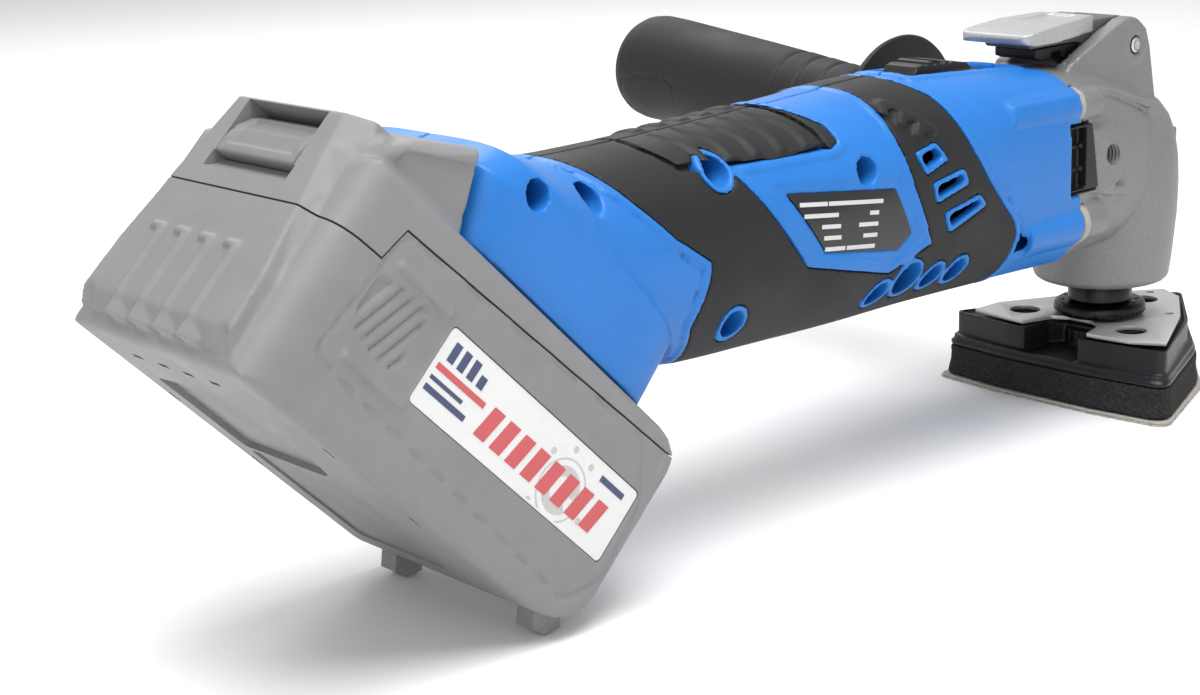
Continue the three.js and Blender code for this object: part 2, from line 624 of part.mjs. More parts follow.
// ---------------------------------------------------------------- clamp lever
const LEVER_TIP_X = -56;

function leverArm() {
  const outline = rounded([[-50, 115.5, 1], [-24, 115.4, 3], [-13, 108, 5], [-2, 103.4, 8], [5, 111, 8],
    [1, 121.2, 6], [-12, 121.4, 4], [-50, 119.2, 1]], 3);
  const arm = sidePlate(outline, -8.4, 8.4);
  return arm.subtract(rod('y', 2.75, -10, 10, [PIVOT.x, PIVOT.z], 18));
}
place('clamp_lever', leverArm(), CAST);

function leverPad() {
  const outline = rounded([[LEVER_TIP_X - 1, -13.4, 4], [-38, -12.6, 6], [-18.6, -9, 3], [-15.5, 0, 4],
    [-18.6, 9, 3], [-38, 12.6, 6], [LEVER_TIP_X - 1, 13.4, 4]], 3);
  const slab = flatPlate(outline, 115.6, 126);
  const side = sidePlate([[-58, 118.2], [-54, 116.8], [-20, 117.9], [-15, 120.2], [-14, 122.6], [-22, 123],
    [-38, 122.4], [-52, 121], [-57.6, 119.8]], -15, 15);
  const hollow = sidePlate([[-50.6, 110], [-10, 110], [-10, 121.8], [-50.6, 119.6]], -8.8, 8.8);
  return slab.intersect(side).subtract(hollow);
}
place('lever_pad', leverPad(), SILVER);

function leverCamBlock() {
  const block = sidePlate([[-46, 111.7], [-30, 111], [-21.5, 111.2], [-25, 115], [-46, 115]], -7.6, 7.6);
  return block.subtract(box(-38, -34, -9, 9, 110, 113.4));
}
place('lever_cam_block', leverCamBlock(), BLACK);
place('lever_pin', rod('y', 2.4, -15.2, 15.2, [PIVOT.x, PIVOT.z], 18), STEEL);

function clampRod() {
  const stem = turned([[0, 15.4], [2.7, 15.4], [2.7, 98], [4.4, 98.2], [4.4, 101.6], [0, 102.2]], 16);
  return stem.add(box(-2.6, 2.6, -7.4, 7.4, 15.4, 18.3));
}
place('clamp_rod', clampRod(), STEEL);

// ---------------------------------------------------------------- sanding pad
const HOLE_CIRCLE = 23.9;
const PAD_HOLES = [0, 1, 2].map((k) => {
  const angle = (k * 2 * Math.PI) / 3;
  return [HOLE_CIRCLE * Math.cos(angle), HOLE_CIRCLE * Math.sin(angle)];
});

// Delta outline with bowed sides; `grow` moves it outwards.
function deltaOutline(grow, corner = 5) {
  const rear = PAD.rear - grow;
  const half = PAD.side + grow;
  const nose = PAD.nose + grow;
  const bow = -1.2;
  const corners = [[rear + 1.5, -half, corner], [rear + bow, -half * 0.4, 20], [rear + bow, half * 0.4, 20],
    [rear + 1.5, half, corner], [17 + grow * 0.6, 25.6 + grow, 40], [nose, 0, corner],
    [17 + grow * 0.6, -25.6 - grow, 40]];
  return rounded(corners, 3);
}

// One notch opens the moulding towards the grip.
function padBody() {
  const base = flatPlate(deltaOutline(0.2), PAD.foamTop + 0.1, 14.6);
  const walls = flatPlate(deltaOutline(-2.2, 3), 14, PAD.frameTop - 0.2);
  const notch = flatPlate([[-60, -13], [-14, -9.6], [-9, -6], [-9, 6], [-14, 9.6], [-60, 13]], 14.6, 30);
  const centre = rod('z', 11.6, 14, 20, [0, 0], 24);
  const holes = PAD_HOLES.map(([x, y]) => rod('z', 4.9, 0, 30, [x, y], 14));
  const hub = rod('z', 5.4, 18.6, 30, [0, 0], 18).add(rod('z', 9, 0, 18.7, [0, 0], 20));
  return cut(union(base.add(walls).subtract(notch), centre), ...holes, hub);
}
place('pad_body', padBody(), BLACK);

function padPlate() {
  const sheet = flatPlate(deltaOutline(-4.4, 2), PAD.frameTop + 0.3, PAD.frameTop + 1.5);
  const notch = flatPlate([[-60, -15], [-27, -13.4], [-13, -9.4], [-10, -4], [-10, 4], [-13, 9.4], [-27, 13.4],
    [-60, 15]], PAD.frameTop - 1, PAD.frameTop + 3);
  const corners = [0, 1, 2].map((k) => {
    const block = new THREE.BoxGeometry(20, 16.6, 6);
    block.translate(-20, 41.7, PAD.frameTop);
    block.rotateZ((k * 2 * Math.PI) / 3);
    return solid(block);
  });
  const holes = PAD_HOLES.map(([x, y]) => rod('z', 4.9, 0, 30, [x, y], 14));
  return cut(sheet, notch, ...corners, ...holes, rod('z', 5.4, 0, 30, [0, 0], 18));
}
place('pad_plate', padPlate(), SILVER);

const FOAM_HOLES = PAD_HOLES.map(([x, y]) => rod('z', 4.9, -5, 30, [x, y], 14));

function padFoam() {
  const lower = flatPlate(deltaOutline(1.3, 6), 1.5, 5.4);
  const upper = flatPlate(deltaOutline(0.7, 6), 5.3, PAD.foamTop - 0.2);
  return cut(union(lower, upper), ...FOAM_HOLES, rod('z', 8, 6, 30, [0, 0], 20));
}
place('pad_foam', padFoam(), BLACK);
place('sanding_sheet', cut(flatPlate(deltaOutline(2.6, 5), 0, 1.2), ...FOAM_HOLES), TAN);

// ---------------------------------------------------------------- side handle
// Distances along the handle from the face of the threaded boss.
function handleTurned(profile, sides) {
  const geometry = geometryOf(turned(profile, sides));
  geometry.rotateX(-Math.PI / 2);
  return solid(geometry);
}

function handleCore() {
  const cone = handleTurned([[0, 1.2], [9.6, 1.2], [10.6, 6], [13.2, 30.8], [0, 30.8]], 24);
  return cone.subtract(rod('y', 3.6, -1, 12, [0, 0], 16));
}
place('handle_core', handleCore(), BLACK, handle);
place('handle_stud', rod('y', 3.1, -7.6, 10, [0, 0], 14), STEEL, handle);
const GUARD_PROFILE = [[0, 31.2], [27.2, 31.2], [28, 32.2], [27.4, 34], [15, 34.8], [0, 34.8]];
place('handle_guard', handleTurned(GUARD_PROFILE, 28), BLACK, handle);

function handleGrip() {
  const profile = [[0, 35.2], [12.4, 35.2], [12.4, 47], [14.4, 50]];
  for (const [radius, y] of [[15.1, 58], [15.6, 67.5], [16.1, 77]]) {
    profile.push([radius, y - 1.1], [radius - 0.8, y], [radius, y + 1.1]);
  }
  profile.push([17.6, 110], [18.8, 138], [18.9, 148], [16.4, 153.6], [9, 156], [0, 156.4]);
  return handleTurned(profile, 20);
}
place('handle_grip', handleGrip(), RUBBER, handle);

// ---------------------------------------------------------------- battery pack
const SHELL = 2.3;

// Pack outline seen from the side, in the battery frame, without the hood.
function packOutline(inset) {
  const { u0, u1, bottom, shoulder } = PACK;
  return rounded([[u0 + inset, bottom + inset, 4], [u1 - inset, bottom + inset, 20 - inset],
    [u1 - inset, shoulder - inset, 15 - inset], [u0 + inset, shoulder - inset, 2]], 5);
}

// Round the four long edges by shrinking the width towards the outline.
function packBlock(inset) {
  const half = PACK.halfWidth - inset;
  const outer = packOutline(inset);
  const centre = new THREE.Vector2((PACK.u0 + PACK.u1) / 2, (PACK.bottom + PACK.shoulder) / 2);
  const stations = [[-half, 3.2], [-half + 1, 1], [-half + 3.4, 0], [half - 3.4, 0], [half - 1, 1],
    [half, 3.2]];
  const rings = stations.map(([y, shrink]) => outer.map(([u, t]) => {
    const toU = centre.x - u;
    const toT = centre.y - t;
    const nextU = u + Math.sign(toU) * Math.min(Math.abs(toU), shrink);
    const nextT = t + Math.sign(toT) * Math.min(Math.abs(toT), shrink);
    return new THREE.Vector3(nextU, y, nextT);
  }));
  return loft(rings);
}

// Raised panel on the rear face, narrower towards the hood, with sloping flanks.
function rearPanel() {
  const flat = [[30, -164], [26.3, -146], [22, -128], [20.6, -122]];
  const foot = [[31.4, -164], [30.6, -146], [29, -128], [27.6, -120.6]];
  const ring = (u, side, corner) => [...side.map(([y, t]) => [-y, t]), ...side.map(([y, t]) => [y, t]).reverse(),
    [corner, -180.5], [-corner, -180.5]].map(([y, t]) => new THREE.Vector3(u, y, t));
  return loft([ring(PACK_FACE, flat, 31.2), ring(-303.4, foot, 31.6), ring(-298, foot, 31.6)]);
}

const HOOD = [[-271.2, -146], [-271.2, -128.6], [-278.1, -112.4], [-279.6, -109.2], [-296, -119.2],
  [-302.6, -123.4], [-306.2, -126.6], [-307.8, -130.6], [-307.6, -146]];

// The hood is chamfered towards the rear: `rear` is how far back it reaches at each distance from the middle.
function hood(inset) {
  const stations = [[-HOOD_HALF_WIDTH, -300], [-30, -303.6], [-22.5, -308], [22.5, -308], [30, -303.6],
    [HOOD_HALF_WIDTH, -300]];
  const outline = rounded(HOOD.map(([u, t]) => [u, t, 1]), 2);
  return loft(stations.map(([y, rear]) => {
    const side = y - Math.sign(y) * inset;
    return outline.map(([u, t]) => new THREE.Vector3(Math.max(u, rear), side, t));
  }));
}

// Everything above the stepped parting line between the two shells.
function upperRegion(grow) {
  const line = PACK.parting - grow;
  const step = -146.3 - grow;
  const region = [[-330, step], [-290 + grow, step], [-288.4 + grow, line], [-150, line], [-150, -60],
    [-330, -60]];
  return sidePlate(region, -60, 60);
}

const LATCH = { u0: -308.6, u1: -298.2, half: 15.8, low: -137.2, high: -123.2, travel: 3.5 };

const LATCH_SPRING_T = -131.4;
const CONTACTS = [-12, -4, 4, 12];

function upperShell() {
  const rail = box(-271.6, -206, -18, 18, -130, -118).add(box(-271.6, -206, -22, 22, -120.4, -115.6));
  let shell = union(packBlock(0), hood(0), rearPanel()).intersect(upperRegion(0)).add(rail);
  shell = shell.subtract(packBlock(SHELL).intersect(box(-320, -170, -60, 60, -190, -131)));
  shell = shell.subtract(box(-299, -289.6, -29, 29, -150, -125));
  shell = shell.subtract(box(-287.4, -274, -29, 29, -150, -125));
  shell = shell.subtract(box(-299, -274, -29, 29, -150, -139));
  shell = shell.subtract(rod('x', 3.6, -292, -285, [0, LATCH_SPRING_T], 12));
  const { u1, half, low, high, travel } = LATCH;
  shell = shell.subtract(box(-320, u1 + travel + 2 * GAP, -half - GAP, half + GAP, low - GAP, high + GAP));
  shell = shell.subtract(box(-310, -304.4, -half - 0.6, half + 0.6, low - 4.1, low));
  for (const y of CONTACTS) shell = shell.subtract(box(-250, -205, y - 1.2, y + 1.2, -122, -110));
  for (const s of [-1, 1]) {
    const side = s < 0 ? [-40, -32.2] : [32.2, 40];
    for (let k = 0; k < 4; k++) {
      const u = -294 + 5.2 * k;
      const groove = box(u, u + 2.6, ...side, -124 + 3.2 * k, -116 + 3.2 * k);
      shell = shell.subtract(groove.intersect(hood(-1)));
    }
  }
  return shell;
}
place('battery_upper_shell', upperShell(), GREY, pack);

const LABEL = { u0: -264, u1: -189.8, t0: -165.4, t1: -145.8 };

function lowerShell() {
  let shell = packBlock(0).add(rearPanel()).subtract(upperRegion(GAP)).subtract(packBlock(SHELL));
  const labelSeat = [LABEL.u0 - GAP, LABEL.u1 + GAP, -40, -PACK.halfWidth + 0.9, LABEL.t0 - GAP, LABEL.t1 + GAP];
  shell = shell.subtract(box(...labelSeat));
  for (let k = 0; k < CONTACTS.length; k++) {
    const y = 15.4 - 10.25 * k;
    shell = shell.add(box(PACK_FACE - 0.9, PACK_FACE + 1, y - 0.7, y + 0.7, -177, -158.2));
    shell = shell.subtract(box(-293.5, -291.5, y + 2.4, y + 6.4, -186, -180));
  }
  for (const s of [-1, 1]) {
    const side = s < 0 ? [-39, -PACK.halfWidth + 0.8] : [PACK.halfWidth - 0.8, 39];
    for (let k = 0; k < 3; k++) {
      const u = -292 + 7 * k;
      shell = shell.subtract(box(u, u + 2.4, ...side, -170, -148));
    }
  }
  return shell.subtract(box(-282, -216, -19, 19, -186, PACK.bottom + 0.9));
}
place('battery_lower_shell', lowerShell(), GREY, pack);

place('battery_label', box(LABEL.u0, LABEL.u1, -37.3, -36.9, LABEL.t0, LABEL.t1), WHITE, pack);

function batteryLatch() {
  const { u0, u1, half, low, high } = LATCH;
  const outline = [[u0, low, 1], [u1, low, 0], [u1, high, 0], [u0 + 4.6, high - 2.2, 1], [u0 + 1.2, high - 5.6, 3]];
  return sidePlate(rounded(outline, 3), -half, half);
}
place('battery_latch', batteryLatch(), GREY, pack);

function cellPack() {
  const cells = [];
  for (let k = 0; k < 5; k++) {
    for (const t of [-172, -153.6]) cells.push(rod('y', 9.1, -32.6, 32.6, [-280 + 18.4 * k, t], 8));
  }
  return union(...cells, box(-286, -200, -31, -28, -164, -161), box(-286, -200, 28, 31, -164, -161));
}
place('battery_cells', cellPack(), GREEN, pack);
const BOARD_PLATE = box(-290, -200, -28, 28, -143.6, -142);
place('battery_board', BOARD_PLATE.add(box(-262, -246, -16, 16, -142.1, -134)), GREEN, pack);

// Two blocks under the front edge of the pack that the tool rests on.
for (const [name, s] of [['right', -1], ['left', 1]]) {
  const foot = [[-195, -181], [-190.6, -186.8], [-186.4, -186], [-183.4, -182], [-189, -176]];
  const span = s < 0 ? [-31, -24.6] : [24.6, 31];
  place(`battery_foot_${name}`, sidePlate(foot, ...span).subtract(packBlock(-GAP)), GREY, pack);
}

function latchSpring() {
  const at = [0, LATCH_SPRING_T];
  return rod('x', 3, -297.9, -289.9, at, 10).subtract(rod('x', 2, -299, -289, at, 10));
}
place('latch_spring', latchSpring(), STEEL, pack);

function toolTerminals() {
  let block = box(-228, -211, -16, 16, -114.6, -104);
  for (const y of CONTACTS) {
    block = block.add(box(-244, -212, y - 0.5, y + 0.5, -121, -115.1));
    block = block.add(box(-227, -212, y - 0.5, y + 0.5, -116, -114));
  }
  return block;
}
place('tool_terminal_block', toolTerminals(), BLACK, pack);

export default tool;
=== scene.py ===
"""Looks for the cordless oscillating multi tool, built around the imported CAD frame.

Shapes are drawn in millimetres in the tool frame (origin on the spindle axis at the sanding face, +X forward,
+Y left, +Z up) and turned into metres at the end of each piece.
"""

import math

import bmesh
import bpy
import numpy as np
from mathutils import Matrix, Vector


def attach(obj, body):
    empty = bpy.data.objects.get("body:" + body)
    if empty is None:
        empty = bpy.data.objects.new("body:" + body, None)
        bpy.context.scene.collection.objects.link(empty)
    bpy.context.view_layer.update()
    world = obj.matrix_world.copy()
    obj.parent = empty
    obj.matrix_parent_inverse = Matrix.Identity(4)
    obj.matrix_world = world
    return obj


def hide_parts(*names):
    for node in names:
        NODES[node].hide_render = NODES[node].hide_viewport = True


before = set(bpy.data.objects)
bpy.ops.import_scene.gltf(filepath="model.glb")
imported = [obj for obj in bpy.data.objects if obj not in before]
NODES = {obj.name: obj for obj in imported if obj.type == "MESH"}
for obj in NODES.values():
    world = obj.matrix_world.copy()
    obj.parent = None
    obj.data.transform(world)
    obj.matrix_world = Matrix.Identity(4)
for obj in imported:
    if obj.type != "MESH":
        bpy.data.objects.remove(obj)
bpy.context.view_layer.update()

MM = 0.001
GAP = 0.3
JOINT_X = -49.5
HEAD_BACK_X = -46.2
PIVOT = (-5.0, 112.5)
BOSS = (-31.5, 26.4, 83.4)
HANDLE_TILT = math.radians(4.2)
PACK_TURN = Matrix.Rotation(math.pi / 4, 4, "Y")
HANDLE_PLACE = Matrix.Translation(BOSS) @ Matrix.Rotation(HANDLE_TILT, 4, "X")


# ------------------------------------------------------------------ mesh tools
def linked(name, mesh):
    obj = bpy.data.objects.new(name, mesh)
    bpy.context.scene.collection.objects.link(obj)
    return obj


def solid(points, faces, name="solid"):
    mesh = bpy.data.meshes.new(name)
    mesh.from_pydata([tuple(p) for p in points], [], faces)
    work = bmesh.new()
    work.from_mesh(mesh)
    bmesh.ops.recalc_face_normals(work, faces=work.faces)
    work.to_mesh(mesh)
    work.free()
    return linked(name, mesh)


def loft(rings):
    """Closed skin through rings that have the same number of points."""
    count = len(rings[0])
    points = [p for ring in rings for p in ring]
    faces = []
    for r in range(len(rings) - 1):
        for k in range(count):
            a = r * count + k
            b = r * count + (k + 1) % count
            faces.append((a, b, b + count, a + count))
    last = (len(rings) - 1) * count
    faces.append(tuple(range(count)))
    faces.append(tuple(last + k for k in range(count)))
    return solid(points, faces)


def prism(outline, low, high, plane="xz"):
    """Flat outline pushed from low to high along the axis that the plane leaves out."""
    order = {"xz": (0, 2, 1), "xy": (0, 1, 2), "yz": (1, 2, 0)}[plane]
    rings = []
    for depth in (low, high):
        ring = []
        for a, b in outline:
            point = [0.0, 0.0, 0.0]
            point[order[0]] = a
            point[order[1]] = b
            point[order[2]] = depth
            ring.append(point)
        rings.append(ring)
    return loft(rings)


def box(x0, x1, y0, y1, z0, z1):
    return prism([(x0, z0), (x1, z0), (x1, z1), (x0, z1)], y0, y1)


def circle(at, radius, sides=48, stretch=1.0, turn=0.0):
    points = []
    for k in range(sides):
        angle = 2 * math.pi * k / sides
        a = radius * stretch * math.cos(angle)
        b = radius / stretch * math.sin(angle)
        points.append((at[0] + a * math.cos(turn) - b * math.sin(turn),
                       at[1] + a * math.sin(turn) + b * math.cos(turn)))
    return points


def rod(axis, radius, low, high, at=(0, 0), sides=48):
    plane = {"x": "yz", "y": "xz", "z": "xy"}[axis]
    return prism(circle(at, radius, sides), low, high, plane)


def turned(profile, sides=96):
    """Solid of revolution about Z from (radius, z) points, low end first."""
    rings = []
    for radius, z in profile:
        spread = max(radius, 0.02)
        angles = [2 * math.pi * k / sides for k in range(sides)]
        rings.append([(spread * math.cos(a), spread * math.sin(a), z) for a in angles])
    return loft(rings)


def arced(corners, steps=6):
    """Polygon with its corners rounded; each corner is (a, b, radius)."""
    points = []
    total = len(corners)
    for index, corner in enumerate(corners):
        here = Vector(corner[:2])
        radius = corner[2] if len(corner) > 2 else 0
        if radius == 0:
            points.append(tuple(here))
            continue
        before = Vector(corners[index - 1][:2])
        after = Vector(corners[(index + 1) % total][:2])
        into = (before - here).normalized()
        out = (after - here).normalized()
        half = math.acos(max(-1.0, min(1.0, into.dot(out)))) / 2
        room = 0.48 * min((before - here).length, (after - here).length)
        reach = min(radius / math.tan(half), room)
        start, end = here + into * reach, here + out * reach
        for k in range(steps + 1):
            t = k / steps
            points.append(tuple(start * (1 - t) ** 2 + here * 2 * t * (1 - t) + end * t * t))
    return points


def grown(outline, amount):
    """Outline moved outwards along its edge normals."""
    corners = [Vector(p[:2]) for p in outline]
    area = sum(a.x * b.y - b.x * a.y for a, b in zip(corners, corners[1:] + corners[:1]))
    sign = amount if area > 0 else -amount
    result = []
    for index, here in enumerate(corners):
        before = corners[index - 1]
        after = corners[(index + 1) % len(corners)]
        first = Vector((here.y - before.y, before.x - here.x)).normalized()
        second = Vector((after.y - here.y, here.x - after.x)).normalized()
        shift = (first + second) * (sign / max(0.35, 1 + first.dot(second)))
        result.append(tuple(here + shift))
    return result


def stroke(path, width):
    """Outline of a line of that width along an open path."""
    points = [Vector(p) for p in path]
    left, right = [], []
    for index, here in enumerate(points):
        before = points[max(index - 1, 0)]
        after = points[min(index + 1, len(points) - 1)]
        along = (after - before).normalized()
        side = Vector((-along.y, along.x)) * (width / 2)
        left.append(tuple(here + side))
        right.append(tuple(here - side))
    return left + right[::-1]


def moved(obj, matrix):
    obj.data.transform(matrix)
    return obj


def copy_of(obj):
    return linked(obj.name, obj.data.copy())


def applied(obj):
    """Bakes an object's modifiers into its mesh."""
    bpy.context.view_layer.update()
    graph = bpy.context.evaluated_depsgraph_get()
    mesh = bpy.data.meshes.new_from_object(obj.evaluated_get(graph))
    obj.modifiers.clear()
    old = obj.data
    obj.data = mesh
    bpy.data.meshes.remove(old)
    return obj


def combine(base, *steps):
    """Applies (operation, solid) steps to base; the solids are used up."""
    for operation, other in steps:
        step = base.modifiers.new("step", "BOOLEAN")
        step.operation = {"+": "UNION", "-": "DIFFERENCE", "&": "INTERSECT"}[operation]
        step.solver = "MANIFOLD"
        step.object = other
    applied(base)
    for _, other in steps:
        if other.name in bpy.data.objects:
            bpy.data.objects.remove(other)
    return base


def softened(obj, voxel=0.6, smooth=2, keep=1.0):
    """Rounds every edge a little: a fine remesh, a few smoothing passes, then fewer faces on the flats."""
    remesh = obj.modifiers.new("fine", "REMESH")
    remesh.mode = "VOXEL"
    remesh.voxel_size = voxel
    if smooth:
        relax = obj.modifiers.new("round", "SMOOTH")
        relax.factor = 0.5
        relax.iterations = smooth
    if keep < 1:
        thin = obj.modifiers.new("thin", "DECIMATE")
        thin.ratio = keep
    return applied(obj)


def finished(obj, name, body, material, replaces=(), place=None, flat=False):
    """Last step of a piece: metres, smooth shading, material, and its place in the frame."""
    if place is not None:
        obj.data.transform(place)
    obj.data.transform(Matrix.Scale(MM, 4))
    obj.name = name
    obj.data.name = name
    obj.data.materials.clear()
    for one in material if isinstance(material, list) else [material]:
        obj.data.materials.append(one)
    if not flat:
        obj.data.shade_smooth()
        obj.data.set_sharp_from_angle(angle=math.radians(40))
    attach(obj, body)
    if replaces:
        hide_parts(*replaces)
    return obj


# ------------------------------------------------------------------ materials
class Surface:
    """A Principled material with procedural colour variation, roughness variation and bump."""

    def __init__(self, name, color, roughness, metallic=0.0):
        self.material = bpy.data.materials.new(name)
        self.material.use_nodes = True
        self.material.diffuse_color = (*color, 1)
        self.tree = self.material.node_tree
        self.shader = self.tree.nodes["Principled BSDF"]
        self.color = color
        self.shader.inputs["Base Color"].default_value = (*color, 1)
        self.shader.inputs["Roughness"].default_value = roughness
        self.shader.inputs["Metallic"].default_value = metallic
        self.shader.inputs["Specular IOR Level"].default_value = 0.34
        self.where = self.tree.nodes.new("ShaderNodeTexCoord").outputs["Object"]
        self.height = None

    def noise(self, size_mm, detail=3.0, stretch=(1, 1, 1)):
        mapping = self.tree.nodes.new("ShaderNodeMapping")
        mapping.inputs["Scale"].default_value = stretch
        self.tree.links.new(self.where, mapping.inputs["Vector"])
        node = self.tree.nodes.new("ShaderNodeTexNoise")
        node.inputs["Scale"].default_value = 1 / (size_mm * MM)
        node.inputs["Detail"].default_value = detail
        self.tree.links.new(mapping.outputs["Vector"], node.inputs["Vector"])
        return node.outputs["Fac"]

    def cells(self, size_mm):
        node = self.tree.nodes.new("ShaderNodeTexVoronoi")
        node.inputs["Scale"].default_value = 1 / (size_mm * MM)
        self.tree.links.new(self.where, node.inputs["Vector"])
        return node.outputs["Distance"]

    def spread(self, value, low, high, start=0.3, end=0.7):
        node = self.tree.nodes.new("ShaderNodeMapRange")
        node.inputs["From Min"].default_value = start
        node.inputs["From Max"].default_value = end
        node.inputs["To Min"].default_value = low
        node.inputs["To Max"].default_value = high
        self.tree.links.new(value, node.inputs["Value"])
        return node.outputs["Result"]

    def tint(self, value, other, amount):
        """Mixes another colour in where value is high."""
        mix = self.tree.nodes.new("ShaderNodeMix")
        mix.data_type = "RGBA"
        base = self.shader.inputs["Base Color"]
        if base.is_linked:
            self.tree.links.new(base.links[0].from_socket, mix.inputs["A"])
        else:
            mix.inputs["A"].default_value = (*self.color, 1)
        mix.inputs["B"].default_value = (*other, 1)
        self.tree.links.new(self.spread(value, 0, amount), mix.inputs["Factor"])
        self.tree.links.new(mix.outputs["Result"], base)
        return self

    def rough(self, value, low, high):
        self.tree.links.new(self.spread(value, low, high), self.shader.inputs["Roughness"])
        return self

    def bump(self, value, strength, depth_mm):
        node = self.tree.nodes.new("ShaderNodeBump")
        node.inputs["Strength"].default_value = strength
        node.inputs["Distance"].default_value = depth_mm * MM
        self.tree.links.new(value, node.inputs["Height"])
        if self.height is not None:
            self.tree.links.new(self.height, node.inputs["Normal"])
        self.height = node.outputs["Normal"]
        self.tree.links.new(self.height, self.shader.inputs["Normal"])
        return self

    def edges(self, color, amount):
        """Wear along convex edges."""
        node = self.tree.nodes.new("ShaderNodeNewGeometry")
        ramp = self.spread(node.outputs["Pointiness"], 0, 1, 0.53, 0.62)
        grit = self.noise(1.4)
        mask = self.tree.nodes.new("ShaderNodeMath")
        mask.operation = "MULTIPLY"
        self.tree.links.new(ramp, mask.inputs[0])
        self.tree.links.new(grit, mask.inputs[1])
        return self.tint(mask.outputs["Value"], color, amount)

    def set(self, name, value):
        self.shader.inputs[name].default_value = value
        return self


def shade(color, factor):
    return tuple(min(1.0, c * factor) for c in color)


def moulded(name, color, roughness, grain_mm=0.5, depth=0.05, wear=1.5, coat=0.0):
    """Moulded plastic: spark-eroded grain, faint flow marks, handling marks and paler edges."""
    s = Surface(name, color, roughness)
    s.tint(s.noise(38, 2), shade(color, 0.86), 0.6)
    s.tint(s.noise(5, 4), shade(color, 1.14), 0.35)
    s.edges(shade(color, wear), 0.5)
    s.rough(s.noise(16, 3), roughness - 0.05, roughness + 0.07)
    s.bump(s.noise(grain_mm, 2), 0.35, depth)
    s.bump(s.noise(9, 2), 0.12, 0.12)
    if coat:
        s.set("Coat Weight", coat).set("Coat Roughness", 0.25)
    return s.material


def cast_metal(name, color, roughness, metallic):
    """Blasted die casting: pitted, speckled and slightly mottled."""
    s = Surface(name, color, roughness, metallic)
    s.tint(s.noise(0.45, 3), shade(color, 0.62), 0.55)
    s.tint(s.noise(24, 3), shade(color, 0.85), 0.5)
    s.tint(s.noise(0.9, 2), shade(color, 1.35), 0.25)
    s.edges(shade(color, 1.6), 0.6)
    s.rough(s.noise(0.7, 2), roughness - 0.08, roughness + 0.12)
    s.bump(s.noise(0.5, 3), 0.5, 0.06)
    return s.material


def turned_steel(name, color, roughness=0.28):
    s = Surface(name, color, roughness, 1.0)
    s.tint(s.noise(3, 4), shade(color, 0.7), 0.5)
    s.rough(s.noise(0.6, 2, (1, 1, 9)), roughness - 0.08, roughness + 0.14)
    s.bump(s.noise(0.5, 2, (1, 1, 12)), 0.3, 0.015)
    return s.material


def brushed_plate(name, color):
    s = Surface(name, color, 0.36, 0.55)
    s.tint(s.noise(1.2, 4, (1, 14, 1)), shade(color, 0.72), 0.6)
    s.tint(s.noise(12, 3), shade(color, 0.85), 0.5)
    s.rough(s.noise(1.0, 3, (1, 10, 1)), 0.28, 0.5)
    s.bump(s.noise(0.8, 2, (1, 14, 1)), 0.25, 0.02)
    return s.material


def foam_rubber(name):
    s = Surface(name, (0.006, 0.006, 0.0065), 0.95)
    s.tint(s.noise(0.8, 4), (0.035, 0.035, 0.034), 0.8)
    s.bump(s.cells(0.9), 0.9, 0.5)
    s.bump(s.noise(0.5, 3), 0.8, 0.25)
    return s.material


def abrasive_sheet(name):
    s = Surface(name, (0.40, 0.35, 0.29), 0.95)
    s.tint(s.noise(0.35, 2), (0.10, 0.08, 0.07), 0.8)
    s.tint(s.noise(2.5, 3), (0.62, 0.58, 0.52), 0.6)
    s.bump(s.cells(0.35), 0.8, 0.12)
    return s.material


def fleece(name):
    s = Surface(name, (0.46, 0.44, 0.41), 0.95)
    s.tint(s.noise(0.6, 3), (0.24, 0.22, 0.20), 0.6)
    s.bump(s.noise(0.4, 4), 0.9, 0.3)
    return s.material


def circuit_board(name):
    s = Surface(name, (0.02, 0.12, 0.05), 0.35)
    s.tint(s.cells(3.2), (0.05, 0.28, 0.12), 0.7)
    s.tint(s.noise(1.0, 1), (0.5, 0.42, 0.2), 0.2)
    s.bump(s.noise(1.5, 2), 0.4, 0.1)
    return s.material


def windings(name):
    s = Surface(name, (0.42, 0.16, 0.06), 0.35, 0.85)
    s.tint(s.noise(0.8, 2, (1, 12, 12)), (0.14, 0.05, 0.02), 0.9)
    s.bump(s.noise(0.6, 2, (1, 12, 12)), 0.6, 0.2)
    return s.material


def film(name, color):
    """Printed film on a label: even, glossy, with faint waviness."""
    s = Surface(name, color, 0.32)
    s.tint(s.noise(30, 2), shade(color, 0.93), 0.5)
    s.rough(s.noise(8, 3), 0.26, 0.4)
    s.bump(s.noise(14, 2), 0.1, 0.08)
    return s.set("Coat Weight", 0.3).material


BLUE = moulded("blue_moulding", (0.014, 0.155, 0.50), 0.42, 0.5, 0.03, 1.35, 0.05)
BLACK_GRIP = moulded("soft_black", (0.011, 0.0112, 0.0122), 0.58, 0.35, 0.06, 2.6)
BLACK = moulded("hard_black", (0.008, 0.008, 0.009), 0.42, 0.4, 0.04, 3.0)
HANDLE_BLACK = moulded("handle_black", (0.014, 0.014, 0.015), 0.6, 0.3, 0.09, 2.2)
GREY = moulded("battery_grey", (0.205, 0.205, 0.21), 0.5, 0.45, 0.04, 1.25)
GREY_DARK = moulded("battery_grey_deep", (0.18, 0.18, 0.185), 0.55, 0.4, 0.06, 1.25)
CAST = cast_metal("cast_head", (0.215, 0.215, 0.212), 0.44, 0.35)
CAST_DARK = cast_metal("cast_lever", (0.13, 0.13, 0.13), 0.42, 0.35)
LEVER = cast_metal("lever_silver", (0.42, 0.425, 0.43), 0.34, 0.35)
TAB = cast_metal("joint_tab", (0.36, 0.345, 0.31), 0.6, 0.1)
STEEL = turned_steel("turned_steel", (0.56, 0.56, 0.57))
BLACK_STEEL = turned_steel("blackened_steel", (0.035, 0.035, 0.037), 0.34)
